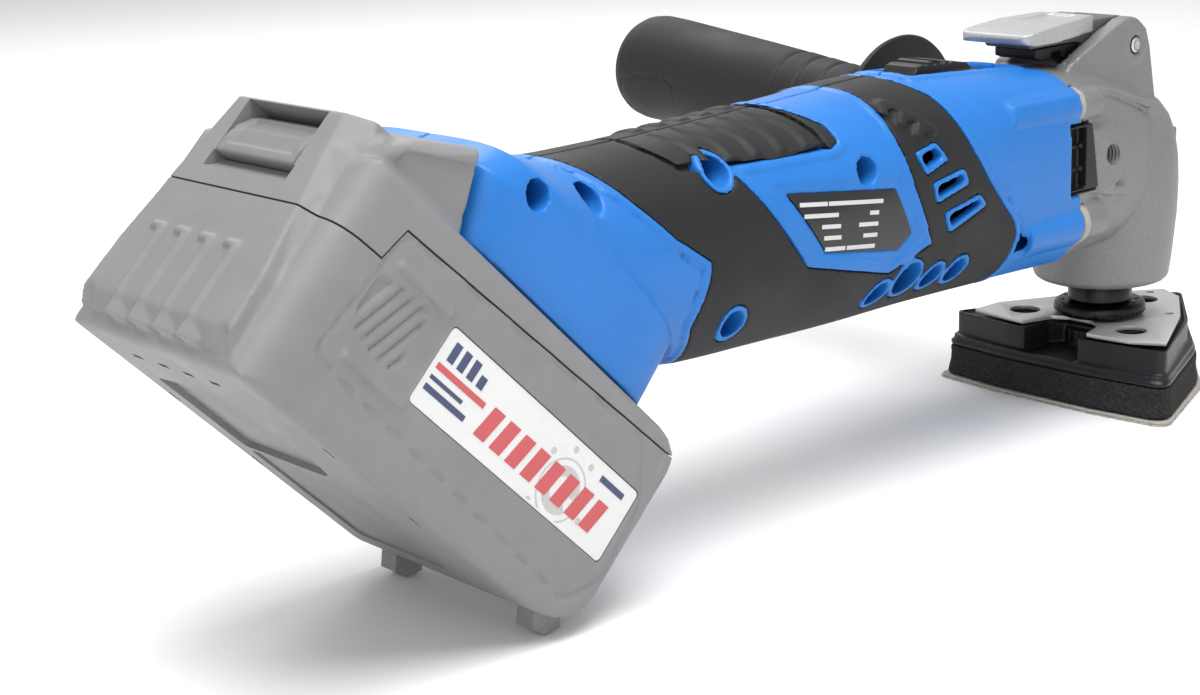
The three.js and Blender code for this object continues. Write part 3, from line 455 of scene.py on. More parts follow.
PLATE = brushed_plate("pad_plate_steel", (0.60, 0.60, 0.59))
FOAM = foam_rubber("pad_foam")
SHEET = abrasive_sheet("abrasive")
FLEECE = fleece("sheet_fleece")
BOARD = circuit_board("circuit_board")
WINDINGS = windings("windings")
PLATE_INK = film("plate_film", (0.012, 0.012, 0.013))
PLATE_MARK = film("plate_marks", (0.55, 0.55, 0.55))
LABEL_WHITE = film("label_film", (0.66, 0.66, 0.655))
LABEL_NAVY = film("label_navy", (0.035, 0.050, 0.125))
LABEL_RED = film("label_red", (0.50, 0.075, 0.085))
LABEL_GREY = film("label_shadow", (0.46, 0.45, 0.44))


# ------------------------------------------------------------------ body
# Rings of the body skin: top x, top z, bottom x, bottom z, half width, squareness.
BODY_RINGS = np.array([
    (-281.4, 101.1, -228.4, 48.1, 33.0, 8.0),
    (-274.9, 117.5, -217.2, 59.8, 33.3, 7.0),
    (-266.0, 119.6, -212.8, 61.0, 32.6, 5.0),
    (-253.0, 113.9, -209.5, 56.0, 30.6, 3.2),
    (-240.0, 109.6, -205.0, 51.2, 29.0, 2.5),
    (-218.0, 109.2, -193.0, 49.8, 28.7, 2.3),
    (-176.0, 110.8, -170.0, 49.4, 28.8, 2.3),
    (-143.0, 112.8, -143.0, 49.3, 29.4, 2.4),
    (-112.0, 114.3, -112.0, 49.7, 29.5, 2.5),
    (-80.0, 112.7, -80.0, 50.2, 29.0, 3.0),
    (JOINT_X, 110.4, JOINT_X, 50.2, 28.0, 3.6),
])
SHARP_RINGS = 3  # the foot before this ring has creases, the grip after it is smooth


def ring_table(first):
    """Ring values with extra stations between them: straight in the foot, curved along the grip."""
    rows = []
    for i in range(first, len(BODY_RINGS) - 1):
        a, b = BODY_RINGS[i], BODY_RINGS[i + 1]
        before = BODY_RINGS[max(i - 1, SHARP_RINGS)] if i > SHARP_RINGS else a
        after = BODY_RINGS[min(i + 2, len(BODY_RINGS) - 1)]
        for k in range(6):
            t = k / 6
            if i < SHARP_RINGS:
                rows.append(a + (b - a) * t)
                continue
            m0, m1 = (b - before) / 2, (after - a) / 2
            rows.append((2 * t**3 - 3 * t**2 + 1) * a + (t**3 - 2 * t**2 + t) * m0
                        + (3 * t**2 - 2 * t**3) * b + (t**3 - t**2) * m1)
    rows.append(BODY_RINGS[-1])
    return rows


def body_ring(row, inset, count=96):
    top_x, top_z, bottom_x, bottom_z, half, power = row
    middle = Vector(((top_x + bottom_x) / 2, 0, (top_z + bottom_z) / 2))
    rise = Vector(((top_x - bottom_x) / 2, 0, (top_z - bottom_z) / 2))
    rise *= (rise.length - inset) / rise.length
    ring = []
    for k in range(count):
        angle = 2 * math.pi * (k + 0.5) / count
        c, s = math.cos(angle), math.sin(angle)
        up = math.copysign(abs(c) ** (2 / power), c)
        side = math.copysign(abs(s) ** (2 / power), s)
        ring.append(middle + rise * up + Vector((0, side * (half - inset), 0)))
    return ring


def skin(inset, first=0):
    return loft([body_ring(row, inset) for row in ring_table(first)])


BAND_FRONT = [(-114, 122), (-112.4, 114), (-107.6, 109.6), (-104.4, 103), (-99.9, 94.1), (-94.1, 85.5),
              (-87.4, 77.4),
              (-81.6, 71), (-80.2, 67), (-81.4, 60), (-85.5, 40)]
GRIP_REAR = [(-199, 40), (-206, 57), (-208, 65), (-202.9, 76.4), (-202.2, 81), (-213.3, 88.5), (-223, 98),
             (-229.7, 105.6), (-234, 109.5), (-239, 122)]
PANEL = [(-164, 122), (-157, 112), (-150.4, 107.4), (-149.6, 103.2), (-152.8, 102), (-189.6, 102.2),
         (-167.6, 73.4),
         (-134.6, 65.6), (-118.4, 71.4), (-125.4, 87), (-129.4, 101), (-131.4, 122)]
PLATE_OUTLINE = [(-173, 93.4), (-133.2, 88.8), (-127, 76), (-131.9, 72), (-160.5, 76.2)]
PLATE_MARGIN = [(-178.2, 96.4), (-131.2, 92), (-123.4, 75), (-132.2, 68.8), (-165.2, 76)]
SIDE_VENTS = [[(-124.2, 97.2), (-115.1, 98.9), (-111.1, 93.8), (-121, 90.7)],
              [(-118.7, 88.2), (-105.3, 90.5), (-103.1, 85.8), (-117.3, 82.3)],
              [(-114, 79.3), (-98.4, 82.2), (-95.3, 78.6), (-111.6, 73.2)]]
DROP_VENTS = [(-136.2, 59.9, 3.2, 1.55), (-125.4, 62.4, 4.6, 1.3), (-114.4, 61, 3.2, 1.6),
              (-104.4, 61, 3.3, 1.55)]
SCREWS = [(-193.6, 101.8), (-192.4, 62.6), (-142.9, 95), (-260.4, 107.6), (-236.6, 101.6)]
RINGED = 2
BORE = 3.7
COLLAR = 1.4
VENT_FRAME = 1.3
RUBBER_DEPTH = 2.2


def reach(s, near=0.15, far=60):
    return (-far, -near) if s < 0 else (near, far)


def vent_outline(corners, grow):
    return arced([(*corner, 1.2) for corner in grown(corners, grow - VENT_FRAME)], 4)


def drop_outline(x, z, radius, stretch, grow):
    return circle((x, z), radius + grow, 28, stretch ** 0.5 * (1 - 0.05 * grow), 0.62)


def band(s, grow):
    """Side prism of the black overmould, grown at its edges."""
    holes = [("-", prism(grown(PANEL, -grow), *reach(s)))]
    for corners in SIDE_VENTS:
        holes.append(("-", prism(vent_outline(corners, VENT_FRAME - grow), *reach(s))))
    for x, z, radius, stretch in DROP_VENTS:
        holes.append(("-", prism(drop_outline(x, z, radius, stretch, 1.2 - grow), *reach(s))))
    for x, z in SCREWS[:RINGED]:
        holes.append(("-", rod("y", BORE + COLLAR - grow, *reach(s), (x, z))))
    return combine(prism(grown(BAND_FRONT + GRIP_REAR, grow), *reach(s)), *holes)


def lip(s):
    """Thin raised edge of the hard housing all round the overmould and round every opening in it."""
    wide = combine(prism(grown(BAND_FRONT + GRIP_REAR, 1.9), *reach(s)),
                   ("-", prism(grown(PANEL, -1.7), *reach(s))))
    ring = combine(wide, ("-", band(s, 0.0)))
    return combine(ring, ("&", combine(skin(-0.45), ("-", skin(1.0)))))


def groove(s, amount, width, depth):
    """Thin line in the housing parallel to the front edge of the overmould."""
    line = combine(prism(grown(BAND_FRONT + GRIP_REAR, amount + width), *reach(s)),
                   ("-", prism(grown(BAND_FRONT + GRIP_REAR, amount), *reach(s))))
    return combine(line, ("&", combine(skin(-1), ("-", skin(depth)))))


def body_cavity():
    hollow = loft([body_ring(row, 5.0, 48) for row in ring_table(4)])
    foot = moved(box(-230.5, -208, -18, 18, -115.2, -96), PACK_TURN)
    return combine(hollow, ("+", box(JOINT_X - 6, JOINT_X + 2, -20, 20, 58, 103)), ("+", foot))


def rail_slot():
    neck = box(-290, -203, -18.8, 18.8, -131.3, -120)
    return moved(combine(neck, ("+", box(-290, -203, -22.8, 22.8, -121, -114.8))), PACK_TURN)


def head_bosses(s):
    low = rod("x", 6.4, -74.5, JOINT_X, (s * 23.4, 64.8))
    high = combine(rod("x", 6.4, -81, JOINT_X, (s * 21.6, 99.6)),
                   ("+", box(-80, JOINT_X, *sorted((s * 14, s * 27.2)), 96, 104)))
    return combine(low, ("+", high))


def housing(s):
    side = reach(s, 0.15, 80)
    shell = combine(skin(0), ("-", body_cavity()), ("+", head_bosses(s)),
                    ("+", box(-105.6, -55, -10.6, 10.6, 105.8, 109.6)))
    for x, z in SCREWS:
        pillar = combine(rod("y", BORE + 1.8, *reach(s, 0.15, 34), (x, z)), ("&", skin(0)))
        shell = combine(shell, ("+", pillar))
    recess = combine(band(s, 0.12), ("&", combine(skin(-3), ("-", skin(RUBBER_DEPTH + 0.1, 2)))))
    shell = combine(shell, ("-", recess), ("+", lip(s)), ("-", groove(s, 2.2, 1.1, 1.1)), ("-", rail_slot()))
    frames = []
    cuts = []
    raised = combine(skin(-0.7), ("-", skin(2.0)))
    for corners in SIDE_VENTS:
        frames.append(prism(vent_outline(corners, VENT_FRAME - 0.1), *reach(s)))
        cuts.append(prism(vent_outline(corners, 0), *reach(s, 16)))
    for x, z, radius, stretch in DROP_VENTS:
        frames.append(prism(drop_outline(x, z, radius, stretch, 1.1), *reach(s)))
        cuts.append(prism(drop_outline(x, z, radius, stretch, 0), *reach(s, 12)))
    for x, z in SCREWS[:RINGED]:
        frames.append(rod("y", BORE + COLLAR - 0.1, *reach(s), (x, z)))
    every = combine(frames[0], *[("+", other) for other in frames[1:]])
    shell = combine(shell, ("+", combine(every, ("&", raised))), *[("-", c) for c in cuts])
    for corners in SIDE_VENTS:
        flare = combine(prism(vent_outline(corners, 1.6), *reach(s, 16)), ("&", skin(3.0)))
        shell = combine(shell, ("-", flare))
    for y, z in ((s * 23.4, 64.8), (s * 21.6, 99.6)):
        cuts = [("-", rod("x", 4.0, -79.5, -58, (y, z))), ("-", rod("x", 1.9, -59, JOINT_X + 1, (y, z)))]
        shell = combine(shell, *cuts)
    window = box(JOINT_X - 5, JOINT_X + 1, *reach(s, 20), 73.6, 95.4)
    slot = prism(arced([(-104, -8.4, 2), (-57, -8.4, 2), (-57, 8.4, 2), (-104, 8.4, 2)]), 108.6, 125, "xy")
    rim = combine(prism(arced([(-107, -11, 3), (-54.5, -11, 3), (-54.5, 11, 3), (-107, 11, 3)]), 100, 125,
                        "xy"),
                  ("&", combine(skin(-0.7), ("-", skin(1.5)))))
    shell = combine(shell, ("+", rim), ("-", slot), ("-", box(-93, -73.5, -3.4, 3.4, 100, 125)),
                    ("-", window))
    margin = combine(prism(PLATE_MARGIN, *reach(s)), ("&", combine(skin(-2), ("-", skin(0.45)))))
    shell = combine(shell, ("-", margin))
    if s < 0:
        plate = combine(prism(grown(PLATE_OUTLINE, 0.3), *reach(s)),
                        ("&", combine(skin(-2), ("-", skin(1.3)))))
        shell = combine(shell, ("-", plate))
        for x, z in SCREWS:
            shell = combine(shell, ("-", rod("y", BORE, -60, -9, (x, z))),
                            ("-", rod("y", 1.9, -10, 1, (x, z))))
    else:
        shell = combine(shell, ("-", rod("z", 10.4, 83, 90.2, (-68, 22.4))))
        for x, z in SCREWS:
            shell = combine(shell, ("-", rod("y", 1.9, -1, 12, (x, z))))
    return combine(shell, ("&", box(-330, 0, *side, 0, 160)))


GRIP_PAD = [(-204, 118), (-207.6, 108.6), (-203.5, 104.6), (-170, 101.8), (-155.4, 103.2), (-156, 106),
            (-163, 118)]


def overmould(s):
    shell = combine(skin(-0.35), ("-", skin(RUBBER_DEPTH, 2)), ("&", band(s, -0.12)))
    line = combine(prism(grown(GRIP_PAD, 1.5), *reach(s)), ("-", prism(GRIP_PAD, *reach(s))))
    shell = combine(shell, ("-", combine(line, ("&", combine(skin(-2), ("-", skin(1.4)))))))
    for k in range(5):
        x = -197.5 + 8.6 * k
        path = [(x - 1.5 + 0.62 * (112 - z) + 1.3 * math.sin((112 - z) / 2.1), z)
                for z in np.linspace(113, 104.2 - 0.1 * k, 12)]
        ridge = combine(prism(stroke(path, 2.2), *reach(s, 2.5, 40)),
                        ("&", prism(grown(GRIP_PAD, -0.6), *reach(s))))
        shell = combine(shell, ("+", combine(ridge, ("&", combine(skin(-1.1), ("-", skin(1.0)))))))
    for x, z in ((-126.4, 107.2), (-122.4, 104.0), (-118.2, 100.6)):
        arc = [(x + 3.6 * math.cos(a), z + 3.0 * math.sin(a)) for a in np.linspace(0.2, 2.9, 10)]
        ridge = prism(stroke(arc, 2.2), *reach(s, 4, 40))
        shell = combine(shell, ("+", combine(ridge, ("&", combine(skin(-1.7), ("-", skin(1.0)))))))
    return shell


def make_body():
    for s, side in ((-1, "right"), (1, "left")):
        shell = softened(housing(s), 0.62, 2, 0.5)
        finished(shell, f"housing_shell_{side}", "tool", BLUE, [f"housing_{side}"])
        rubber = softened(overmould(s), 0.62, 2, 0.5)
        finished(rubber, f"overmould_skin_{side}", "tool", BLACK_GRIP, [f"overmould_{side}"])


# ------------------------------------------------------------------ plate, switch and dial
def plate_patch(outline, low, high):
    """Thin layer lying on the body skin inside a side outline on the right-hand side."""
    layer = combine(skin(-high), ("-", skin(-low, 2)))
    return combine(layer, ("&", prism(outline, -50, -5)))


def make_rating_plate():
    finished(plate_patch(PLATE_OUTLINE, -1.1, -0.35), "rating_film", "tool", PLATE_INK,
             ["rating_plate"])
    corner = Vector(PLATE_OUTLINE[0])
    along = (Vector(PLATE_OUTLINE[1]) - corner).normalized()
    down = Vector((along.y, -along.x))
    bars = []
    for row, (start, first, second, end) in enumerate(((4, 10, 14.5, 35), (5.5, 12.5, 30, 33.5),
                                                       (12, 7, 26, 33.5),
                                                       (13, 6.5, 28, 33.5), (13.8, 7.6, 22, 33))):
        for a, b in ((start, start + first), (second if second > start + first else start + first + 2, end)):
            at = corner + down * (2.3 + 3.0 * row)
            quad = [at + along * a, at + along * b, at + along * b + down * 1.1, at + along * a + down * 1.1]
            bars.append(plate_patch([tuple(p) for p in quad], -0.6, -0.22))
    marks = combine(bars[0], *[("+", bar) for bar in bars[1:]])
    finished(marks, "rating_marks", "tool", PLATE_MARK)


def make_switch():
    x0, x1 = -102.5, -70.5
    base = prism(arced([(x0, -7.6, 1.5), (x1, -7.6, 1.5), (x1, 7.6, 1.5), (x0, 7.6, 1.5)]), 109, 112.6, "xy")
    crown = prism([(x0 + 2, 112), (x1 - 2, 112), (x1 - 5, 114.6), (x1 - 12, 115.9), (x0 + 12, 117),
                   (x0 + 5, 115.8)], -6, 6)
    steps = [("-", box(x0 + 8 + 3.6 * k, x0 + 9.6 + 3.6 * k, -7, 7, 115.6 - 0.12 * k, 119))
             for k in range(6)]
    knob = softened(combine(base, ("+", crown), ("+", box(-90, -86, -2.6, 2.6, 101, 110)), *steps), 0.4, 2,
                    0.6)
    finished(knob, "slide_knob", "switch", BLACK, ["slide_switch"])


def make_dial():
    wheel = turned([(0, 83.6), (9.3, 83.6), (9.8, 84.1), (9.8, 89.1), (9.3, 89.6), (0, 89.6)])
    cuts = [("-", rod("z", 1.8, 82, 91))]
    for k in range(24):
        angle = k * math.pi / 12
        cuts.append(("-", rod("z", 0.55, 82, 91, (9.9 * math.cos(angle), 9.9 * math.sin(angle)), 10)))
    wheel = combine(wheel, *cuts)
    finished(moved(wheel, Matrix.Translation((-68, 22.4, 0))), "thumb_wheel", "speed_dial",
             BLACK,
             ["speed_dial"])


# ------------------------------------------------------------------ gear head
BOSS_PAD = (-33.6, 82.6)  # middle of the rounded front of the boss pad, x and z
BOSS_PAD_RADIUS = 9.4
HEAD_RINGS = [(JOINT_X + GAP, 109.9, 50.5, 27.4, 3.8), (-40, 109.1, 50.8, 25.3, 3.4),
              (-26, 107.5, 50.4, 23.8, 2.9),
              (-12, 104, 50, 23.0, 2.6), (0, 100, 50, 21, 2.5)]
DOME = [(0, 36), (18.8, 36), (20.4, 36.6), (21.4, 37.8), (22.2, 44), (23.4, 58), (23.6, 68), (23.2, 76),
        (22, 83.6),
        (20, 89), (16.8, 93.4), (12, 96.6), (5, 98.6), (0, 99)]
EAR = [(-40, 98), (-40, 106), (-37, 109.8), (-27.5, 113.8), (-17.7, 117.9), (-9.6, 120.9), (-6.2, 121.3),
       (-3.2, 120.4), (1.2, 117.1), (3.4, 111.5), (4.6, 106), (7.2, 94), (0, 90)]
HEAD_BOSSES = [(23.4, 64.8, 6.2), (21.6, 99.6, 5.4)]


def neck_rings():
    rings = []
    for (x0, *first), (x1, *second) in zip(HEAD_RINGS, HEAD_RINGS[1:]):
        for k in range(5):
            t = k / 5
            top, bottom, half, power = [a + (b - a) * t for a, b in zip(first, second)]
            x = x0 + (x1 - x0) * t
            rings.append(body_ring((x, top, x, bottom, half, power), 0))
    return rings


def thread_bore(s):
    """Tapped hole for the handle: a bore with a spiral of shallow rings."""
    profile = [(0, -8.2), (3.2, -8.2)]
    for k in range(6):
        profile += [(3.25, -7.6 + 1.25 * k), (3.85, -7.1 + 1.25 * k), (3.25, -6.5 + 1.25 * k)]
    profile += [(3.6, -0.2), (4.1, 0.2), (4.1, 4), (0, 4)]
    bore = moved(turned(profile, 40), Matrix.Rotation(-math.pi / 2 * s, 4, "X"))
    return moved(bore, Matrix.Translation((BOSS[0], s * BOSS[1],
                                           BOSS[2])) @ Matrix.Rotation(s * HANDLE_TILT, 4, "X"))


def head_casting():
    body = combine(loft(neck_rings()), ("+", turned(DOME)))
    for s in (-1, 1):
        face = sorted((s * BOSS[1], s * 15))
        arc = [(BOSS_PAD[0] + BOSS_PAD_RADIUS * math.cos(a), BOSS_PAD[1] + BOSS_PAD_RADIUS * math.sin(a))
               for a in np.linspace(-math.pi / 2, math.pi / 2, 24)]
        pad = prism([(-42, 73.2)] + arc + [(-42, 92)], *face)
        body = combine(body, ("+", pad), ("+", prism(EAR, *sorted((s * 14.2, s * 8.9)))))
        body = combine(body, ("+", rod("y", 5.4, *sorted((s * 14.9, s * 9)), PIVOT)))
        for y, z, radius in HEAD_BOSSES:
            body = combine(body, ("+", rod("x", radius, HEAD_BACK_X, -37.2, (s * y, z))))
            body = combine(body, ("-", combine(rod("x", radius + 0.6, JOINT_X - 1, HEAD_BACK_X, (s * y, z)),
                                               ("&", box(-52, -44, *sorted((s * 18.6, s * 40)), 50, 112)))))
        web = prism([(HEAD_BACK_X, 74.5), (-30, 70.4), (-22, 70), (-22, 72.4), (HEAD_BACK_X, 76.5)],
                    *sorted((s * 27.6, s * 15)))
        ridge = prism([(HEAD_BACK_X, 104.4), (-24, 100.4), (-4, 93), (-4, 95.4), (-24, 102.6),
                       (HEAD_BACK_X, 106.4)],
                      *sorted((s * 24.4, s * 10)))
        web_limit = loft([body_ring((x, 110, x, 50, h, 3.4), 0)
                          for x, h in ((HEAD_BACK_X, 27.3), (-22, 24.6))])
        ridge_limit = loft([body_ring((x, t, x, 50, h, 3.4), 0)
                            for x, t, h in ((HEAD_BACK_X, 110.2, 27.3), (-4, 103, 22.2))])
        body = combine(body, ("+", combine(web, ("&", web_limit))), ("+", combine(ridge, ("&", ridge_limit))))
    for angle, z in ((-0.5, 70.5), (-0.5, 81), (0.5, 70.5), (0.5, 81)):
        lug = moved(box(20, 24.3, -2.6, 2.6, z - 2.6, z + 2.6), Matrix.Rotation(angle, 4, "Z"))
        body = combine(body, ("+", lug))
    return body


def make_head():
    body = head_casting()
    room = combine(box(JOINT_X - 1, -30, -16.4, 16.4, 60, 101), ("+", box(-31, -4, -14, 14, 62, 94)))
    bores = [rod("z", 11.3, 35, 41), rod("z", 14.3, 39.9, 50.4), rod("z", 12.5, 50.3, 88),
             rod("z", 9.3, 87.9, 95.4),
             rod("z", 5, 95, 104), rod("y", 2.75, -20, 20, PIVOT),
             prism([(-30, 106), (-14, 103.4), (-4, 100.4), (-4, 130), (-30, 130)], -8.9, 8.9)]
    body = combine(body, ("-", room), *[("-", bore) for bore in bores])
    for s in (-1, 1):
        for y, z, _ in HEAD_BOSSES:
            body = combine(body, ("-", rod("x", 1.8, JOINT_X - 1, -37.5, (s * y, z))))
        pocket = prism([(JOINT_X - 1, 74), (-38.7, 74), (-42.3, 95), (JOINT_X - 1, 95)],
                       *sorted((s * 22.4, s * 30)))
        body = combine(body, ("-", pocket))
    for row in range(3):
        for k in range(7):
            dimple = rod("z", 0.75, 100, 112, (-44.2 + 2.6 * k + 0.4 * row, -13.6 + 2.4 * row), 12)
            body = combine(body, ("-", combine(dimple, ("&", box(-50, -20, -20, 20, 108.4, 112)))))
    body = softened(body, 0.6, 3, 0.5)
    for s in (-1, 1):
        body = combine(body, ("-", thread_bore(s)))
    finished(body, "head_casting", "tool", CAST, ["gearbox_housing"])


def make_gasket():
    """Fibre tabs of the joint gasket where it shows at the four screw bosses."""
    x0, x1 = JOINT_X + GAP, HEAD_BACK_X - GAP
    tabs = []
    for s in (-1, 1):
        for y, z, radius in HEAD_BOSSES:
            tab = combine(rod("x", radius + 0.2, x0, x1, (s * y, z)),
                          ("-", rod("x", 1.9, x0 - 1, x1 + 1, (s * y, z))))
            tabs.append(combine(tab, ("&", box(-60, -40, *sorted((s * 19, s * 40)), 50, 112))))
    plate = combine(tabs[0], *[("+", tab) for tab in tabs[1:]])
    finished(softened(plate, 0.35, 2, 0.4), "joint_tabs", "tool", TAB, ["gearbox_gasket"])


def make_air_outlets():
    """Black inserts: a slanted cheek towards the casting and a deep opening with two thin bars."""
    for s, side in ((-1, "right"), (1, "left")):
        cheek = prism([(-54, 74.6), (-39.2, 74.6), (-42.6, 94.4), (-54, 94.4)],
                      *sorted((s * 22.9, s * 26.6)))
        opening = ("-", box(-53.2, -45.6, *sorted((s * 23.4, s * 29)), 75.4, 93.6))
        bars = [("+", box(-53.6, -45, *sorted((s * 23, s * 24.6)), z, z + 1.1)) for z in (80.4, 87.2)]
        piece = softened(combine(cheek, opening, *bars), 0.35, 1, 0.5)
        finished(piece, f"air_louvre_{side}", "tool", BLACK, [f"air_outlet_{side}"])


def screw(shank, head, length, sink):
    """Pan-head screw along Z, head at the bottom, with a hexalobe socket."""
    profile = [(0, 0), (head * 0.8, 0), (head, 0.5), (head, 2.6), (shank, 3.0)]
    z = 3.4
    while z < length - 1:
        profile += [(shank, z), (shank + 0.35, z + 0.3), (shank, z + 0.6)]
        z += 1.3
    profile += [(shank * 0.5, length), (0, length)]
    cuts = [("-", rod("z", 1.1, -1, sink))]
    for k in range(6):
        angle = k * math.pi / 3
        cuts.append(("-", rod("z", 0.5, -1, sink, (1.15 * math.cos(angle), 1.15 * math.sin(angle)), 16)))
    return combine(turned(profile, 32), *cuts)


def make_screws():
    for index, (x, z) in enumerate(SCREWS):
        place = Matrix.Translation((x, -13.2, z)) @ Matrix.Rotation(-math.pi / 2, 4, "X")
        finished(moved(screw(1.15, 3.2, 23.6, 1.6), place), f"housing_fixing_{index + 1}", "tool",
                 BLACK_STEEL,
                 [f"housing_screw_{index + 1}"])
    places = [(s * y, z) for s in (-1, 1) for y, z, _ in HEAD_BOSSES]
    for index, (y, z) in enumerate(places):
        place = Matrix.Translation((-62.5, y, z)) @ Matrix.Rotation(math.pi / 2, 4, "Y")
        finished(moved(screw(1.15, 3.4, 23.4, 1.6), place), f"head_fixing_{index + 1}", "tool",
                 STEEL,
                 [f"head_screw_{index + 1}"])


# ------------------------------------------------------------------ spindle
def make_spindle():
    shaft = turned([(0, 24.4), (8.6, 24.4), (8.6, 28.6), (9.6, 28.8), (10.2, 29.4), (10.2, 33.9),
                    (9.7, 34.6), (7.6, 35.2),
                    (7.2, 35.8), (7.2, 39.8), (6, 39.9), (6, 88), (5, 88.2), (5, 94.5), (0, 94.5)])
    shaft = combine(shaft, ("-", rod("z", 3.3, 20, 100)))
    finished(shaft, "spindle_shaft", "spindle", BLACK_STEEL, ["output_spindle"])
    ring = turned([(0, 24.4), (13.4, 24.4), (14.2, 24.9), (14.6, 25.6), (14.6, 27.3), (14.2, 28),
                   (13.4, 28.5), (0, 28.5)])
    cuts = [("-", rod("z", 9.0, 20, 30))]
    for k in range(12):
        angle = k * math.pi / 6 + 0.2
        cuts.append(("-", rod("z", 0.8, 27.2, 30, (11.7 * math.cos(angle), 11.7 * math.sin(angle)), 20)))
    for k in range(40):
        angle = k * math.pi / 20
        tooth = box(14.35, 16, -0.35, 0.35, 24, 26.2)
        cuts.append(("-", moved(tooth, Matrix.Rotation(angle, 4, "Z"))))
    finished(combine(ring, *cuts), "clamp_collar", "spindle", BLACK_STEEL, ["tool_collar"])


# ------------------------------------------------------------------ clamp lever
def make_lever():
    outline = arced([(-50, 115.4, 1.5), (-26, 115.3, 4), (-14, 108.4, 6), (-7, 104.3, 5), (1.5, 104.4, 6),
                     (5, 111, 6),
                     (2.6, 118.6, 6), (-5, 121.3, 5), (-16, 121.3, 4), (-50, 119.2, 1.5)], 8)
    arm = prism(outline, -8.4, 8.4)
    arm = combine(arm, ("-", rod("y", 2.75, -10, 10, PIVOT)),
                  ("-", prism([(-14, 100), (-9, 112.8), (-1, 112.8), (4, 100)],
                                                                       -4.6, 4.6)))
    finished(softened(arm, 0.45, 3, 0.5), "lever_hub", "lever", CAST_DARK, ["clamp_lever"])
    outline = arced([(-57, -13.2, 5), (-38, -12.8, 9), (-19, -9.4, 4), (-15.7, 0, 6), (-19, 9.4, 4),
                     (-38, 12.8, 9),
                     (-57, 13.2, 5)], 8)
    slab = prism(outline, 115, 126, "xy")
    side = prism(arced([(-57, 119.4, 0.8), (-56, 117.6, 1.4), (-51.5, 116.8, 1), (-20, 117.9, 1),
                        (-15.7, 119.5, 1),
                        (-15.7, 122.2, 1), (-22, 123, 4), (-38, 122.5, 8), (-52, 121.2, 6),
                        (-56.4, 120.4, 1)], 6), -15, 15)
    slab = combine(slab, ("&", side),
                   ("-", prism([(-50.6, 110), (-10, 110), (-10, 121.5), (-50.6, 119.5)], -8.8, 8.8)))
    dip = rod("y", 70, -20, 20, (-30, 191.8), 256)
    slab = combine(slab, ("-",
                          combine(dip, ("&", prism(arced([(-44, -7, 4), (-22, -5, 3), (-22, 5, 3),
                                                          (-44, 7, 4)], 6),
                                                     100, 130, "xy")))))
    finished(softened(slab, 0.4, 4, 0.5), "lever_shell", "lever", LEVER, ["lever_pad"])
    block = prism([(-46, 112.4), (-43, 111.4), (-30, 111), (-21.5, 111.2), (-23, 113), (-25, 115),
                   (-46, 115)], -7.6, 7.6)
    block = combine(block, ("-", box(-38, -33, -9, 9, 110, 113.2)),
                    ("-", box(-30.5, -29.4, -9, 9, 110, 112.4)))
    finished(softened(block, 0.35, 2, 0.5), "lever_block", "lever", BLACK,
             ["lever_cam_block"])
    pin = turned([(0, -15.2), (1.9, -15.2), (2.4, -14.7), (2.4, 14.7), (1.9, 15.2), (0, 15.2)], 40)
    rings = [("-", combine(rod("z", 1.75, s * 15.05 - 0.3, s * 15.05 + 0.3), ("-", rod("z", 1.45, -16, 16))))
             for s in (-1, 1)]
    pin = combine(pin, *rings)
    place = Matrix.Translation((PIVOT[0], 0, PIVOT[1])) @ Matrix.Rotation(math.pi / 2, 4, "X")
    finished(moved(pin, place), "lever_axle", "tool", STEEL, ["lever_pin"])


# ------------------------------------------------------------------ sanding pad
HOLE_CIRCLE = 23.9
PAD_HOLES = [(HOLE_CIRCLE * math.cos(a), HOLE_CIRCLE * math.sin(a))
             for a in (0, 2 * math.pi / 3, 4 * math.pi / 3)]


def delta(grow, corner=5):
    """Delta outline with bowed sides, grown outwards."""
    rear, half, nose = -27 - grow, 43.6 + grow, 48.8 + grow
    side_x, side_y = 17 + 0.6 * grow, 25.6 + grow
    return arced([(rear + 1.5, -half, corner), (rear - 1.2, -half * 0.4, 20), (rear - 1.2, half * 0.4, 20),
                  (rear + 1.5, half, corner), (side_x, side_y, 40), (nose, 0, corner),
                  (side_x, -side_y, 40)], 8)


def third(solid_piece, k):
    return moved(solid_piece, Matrix.Rotation(k * 2 * math.pi / 3, 4, "Z"))


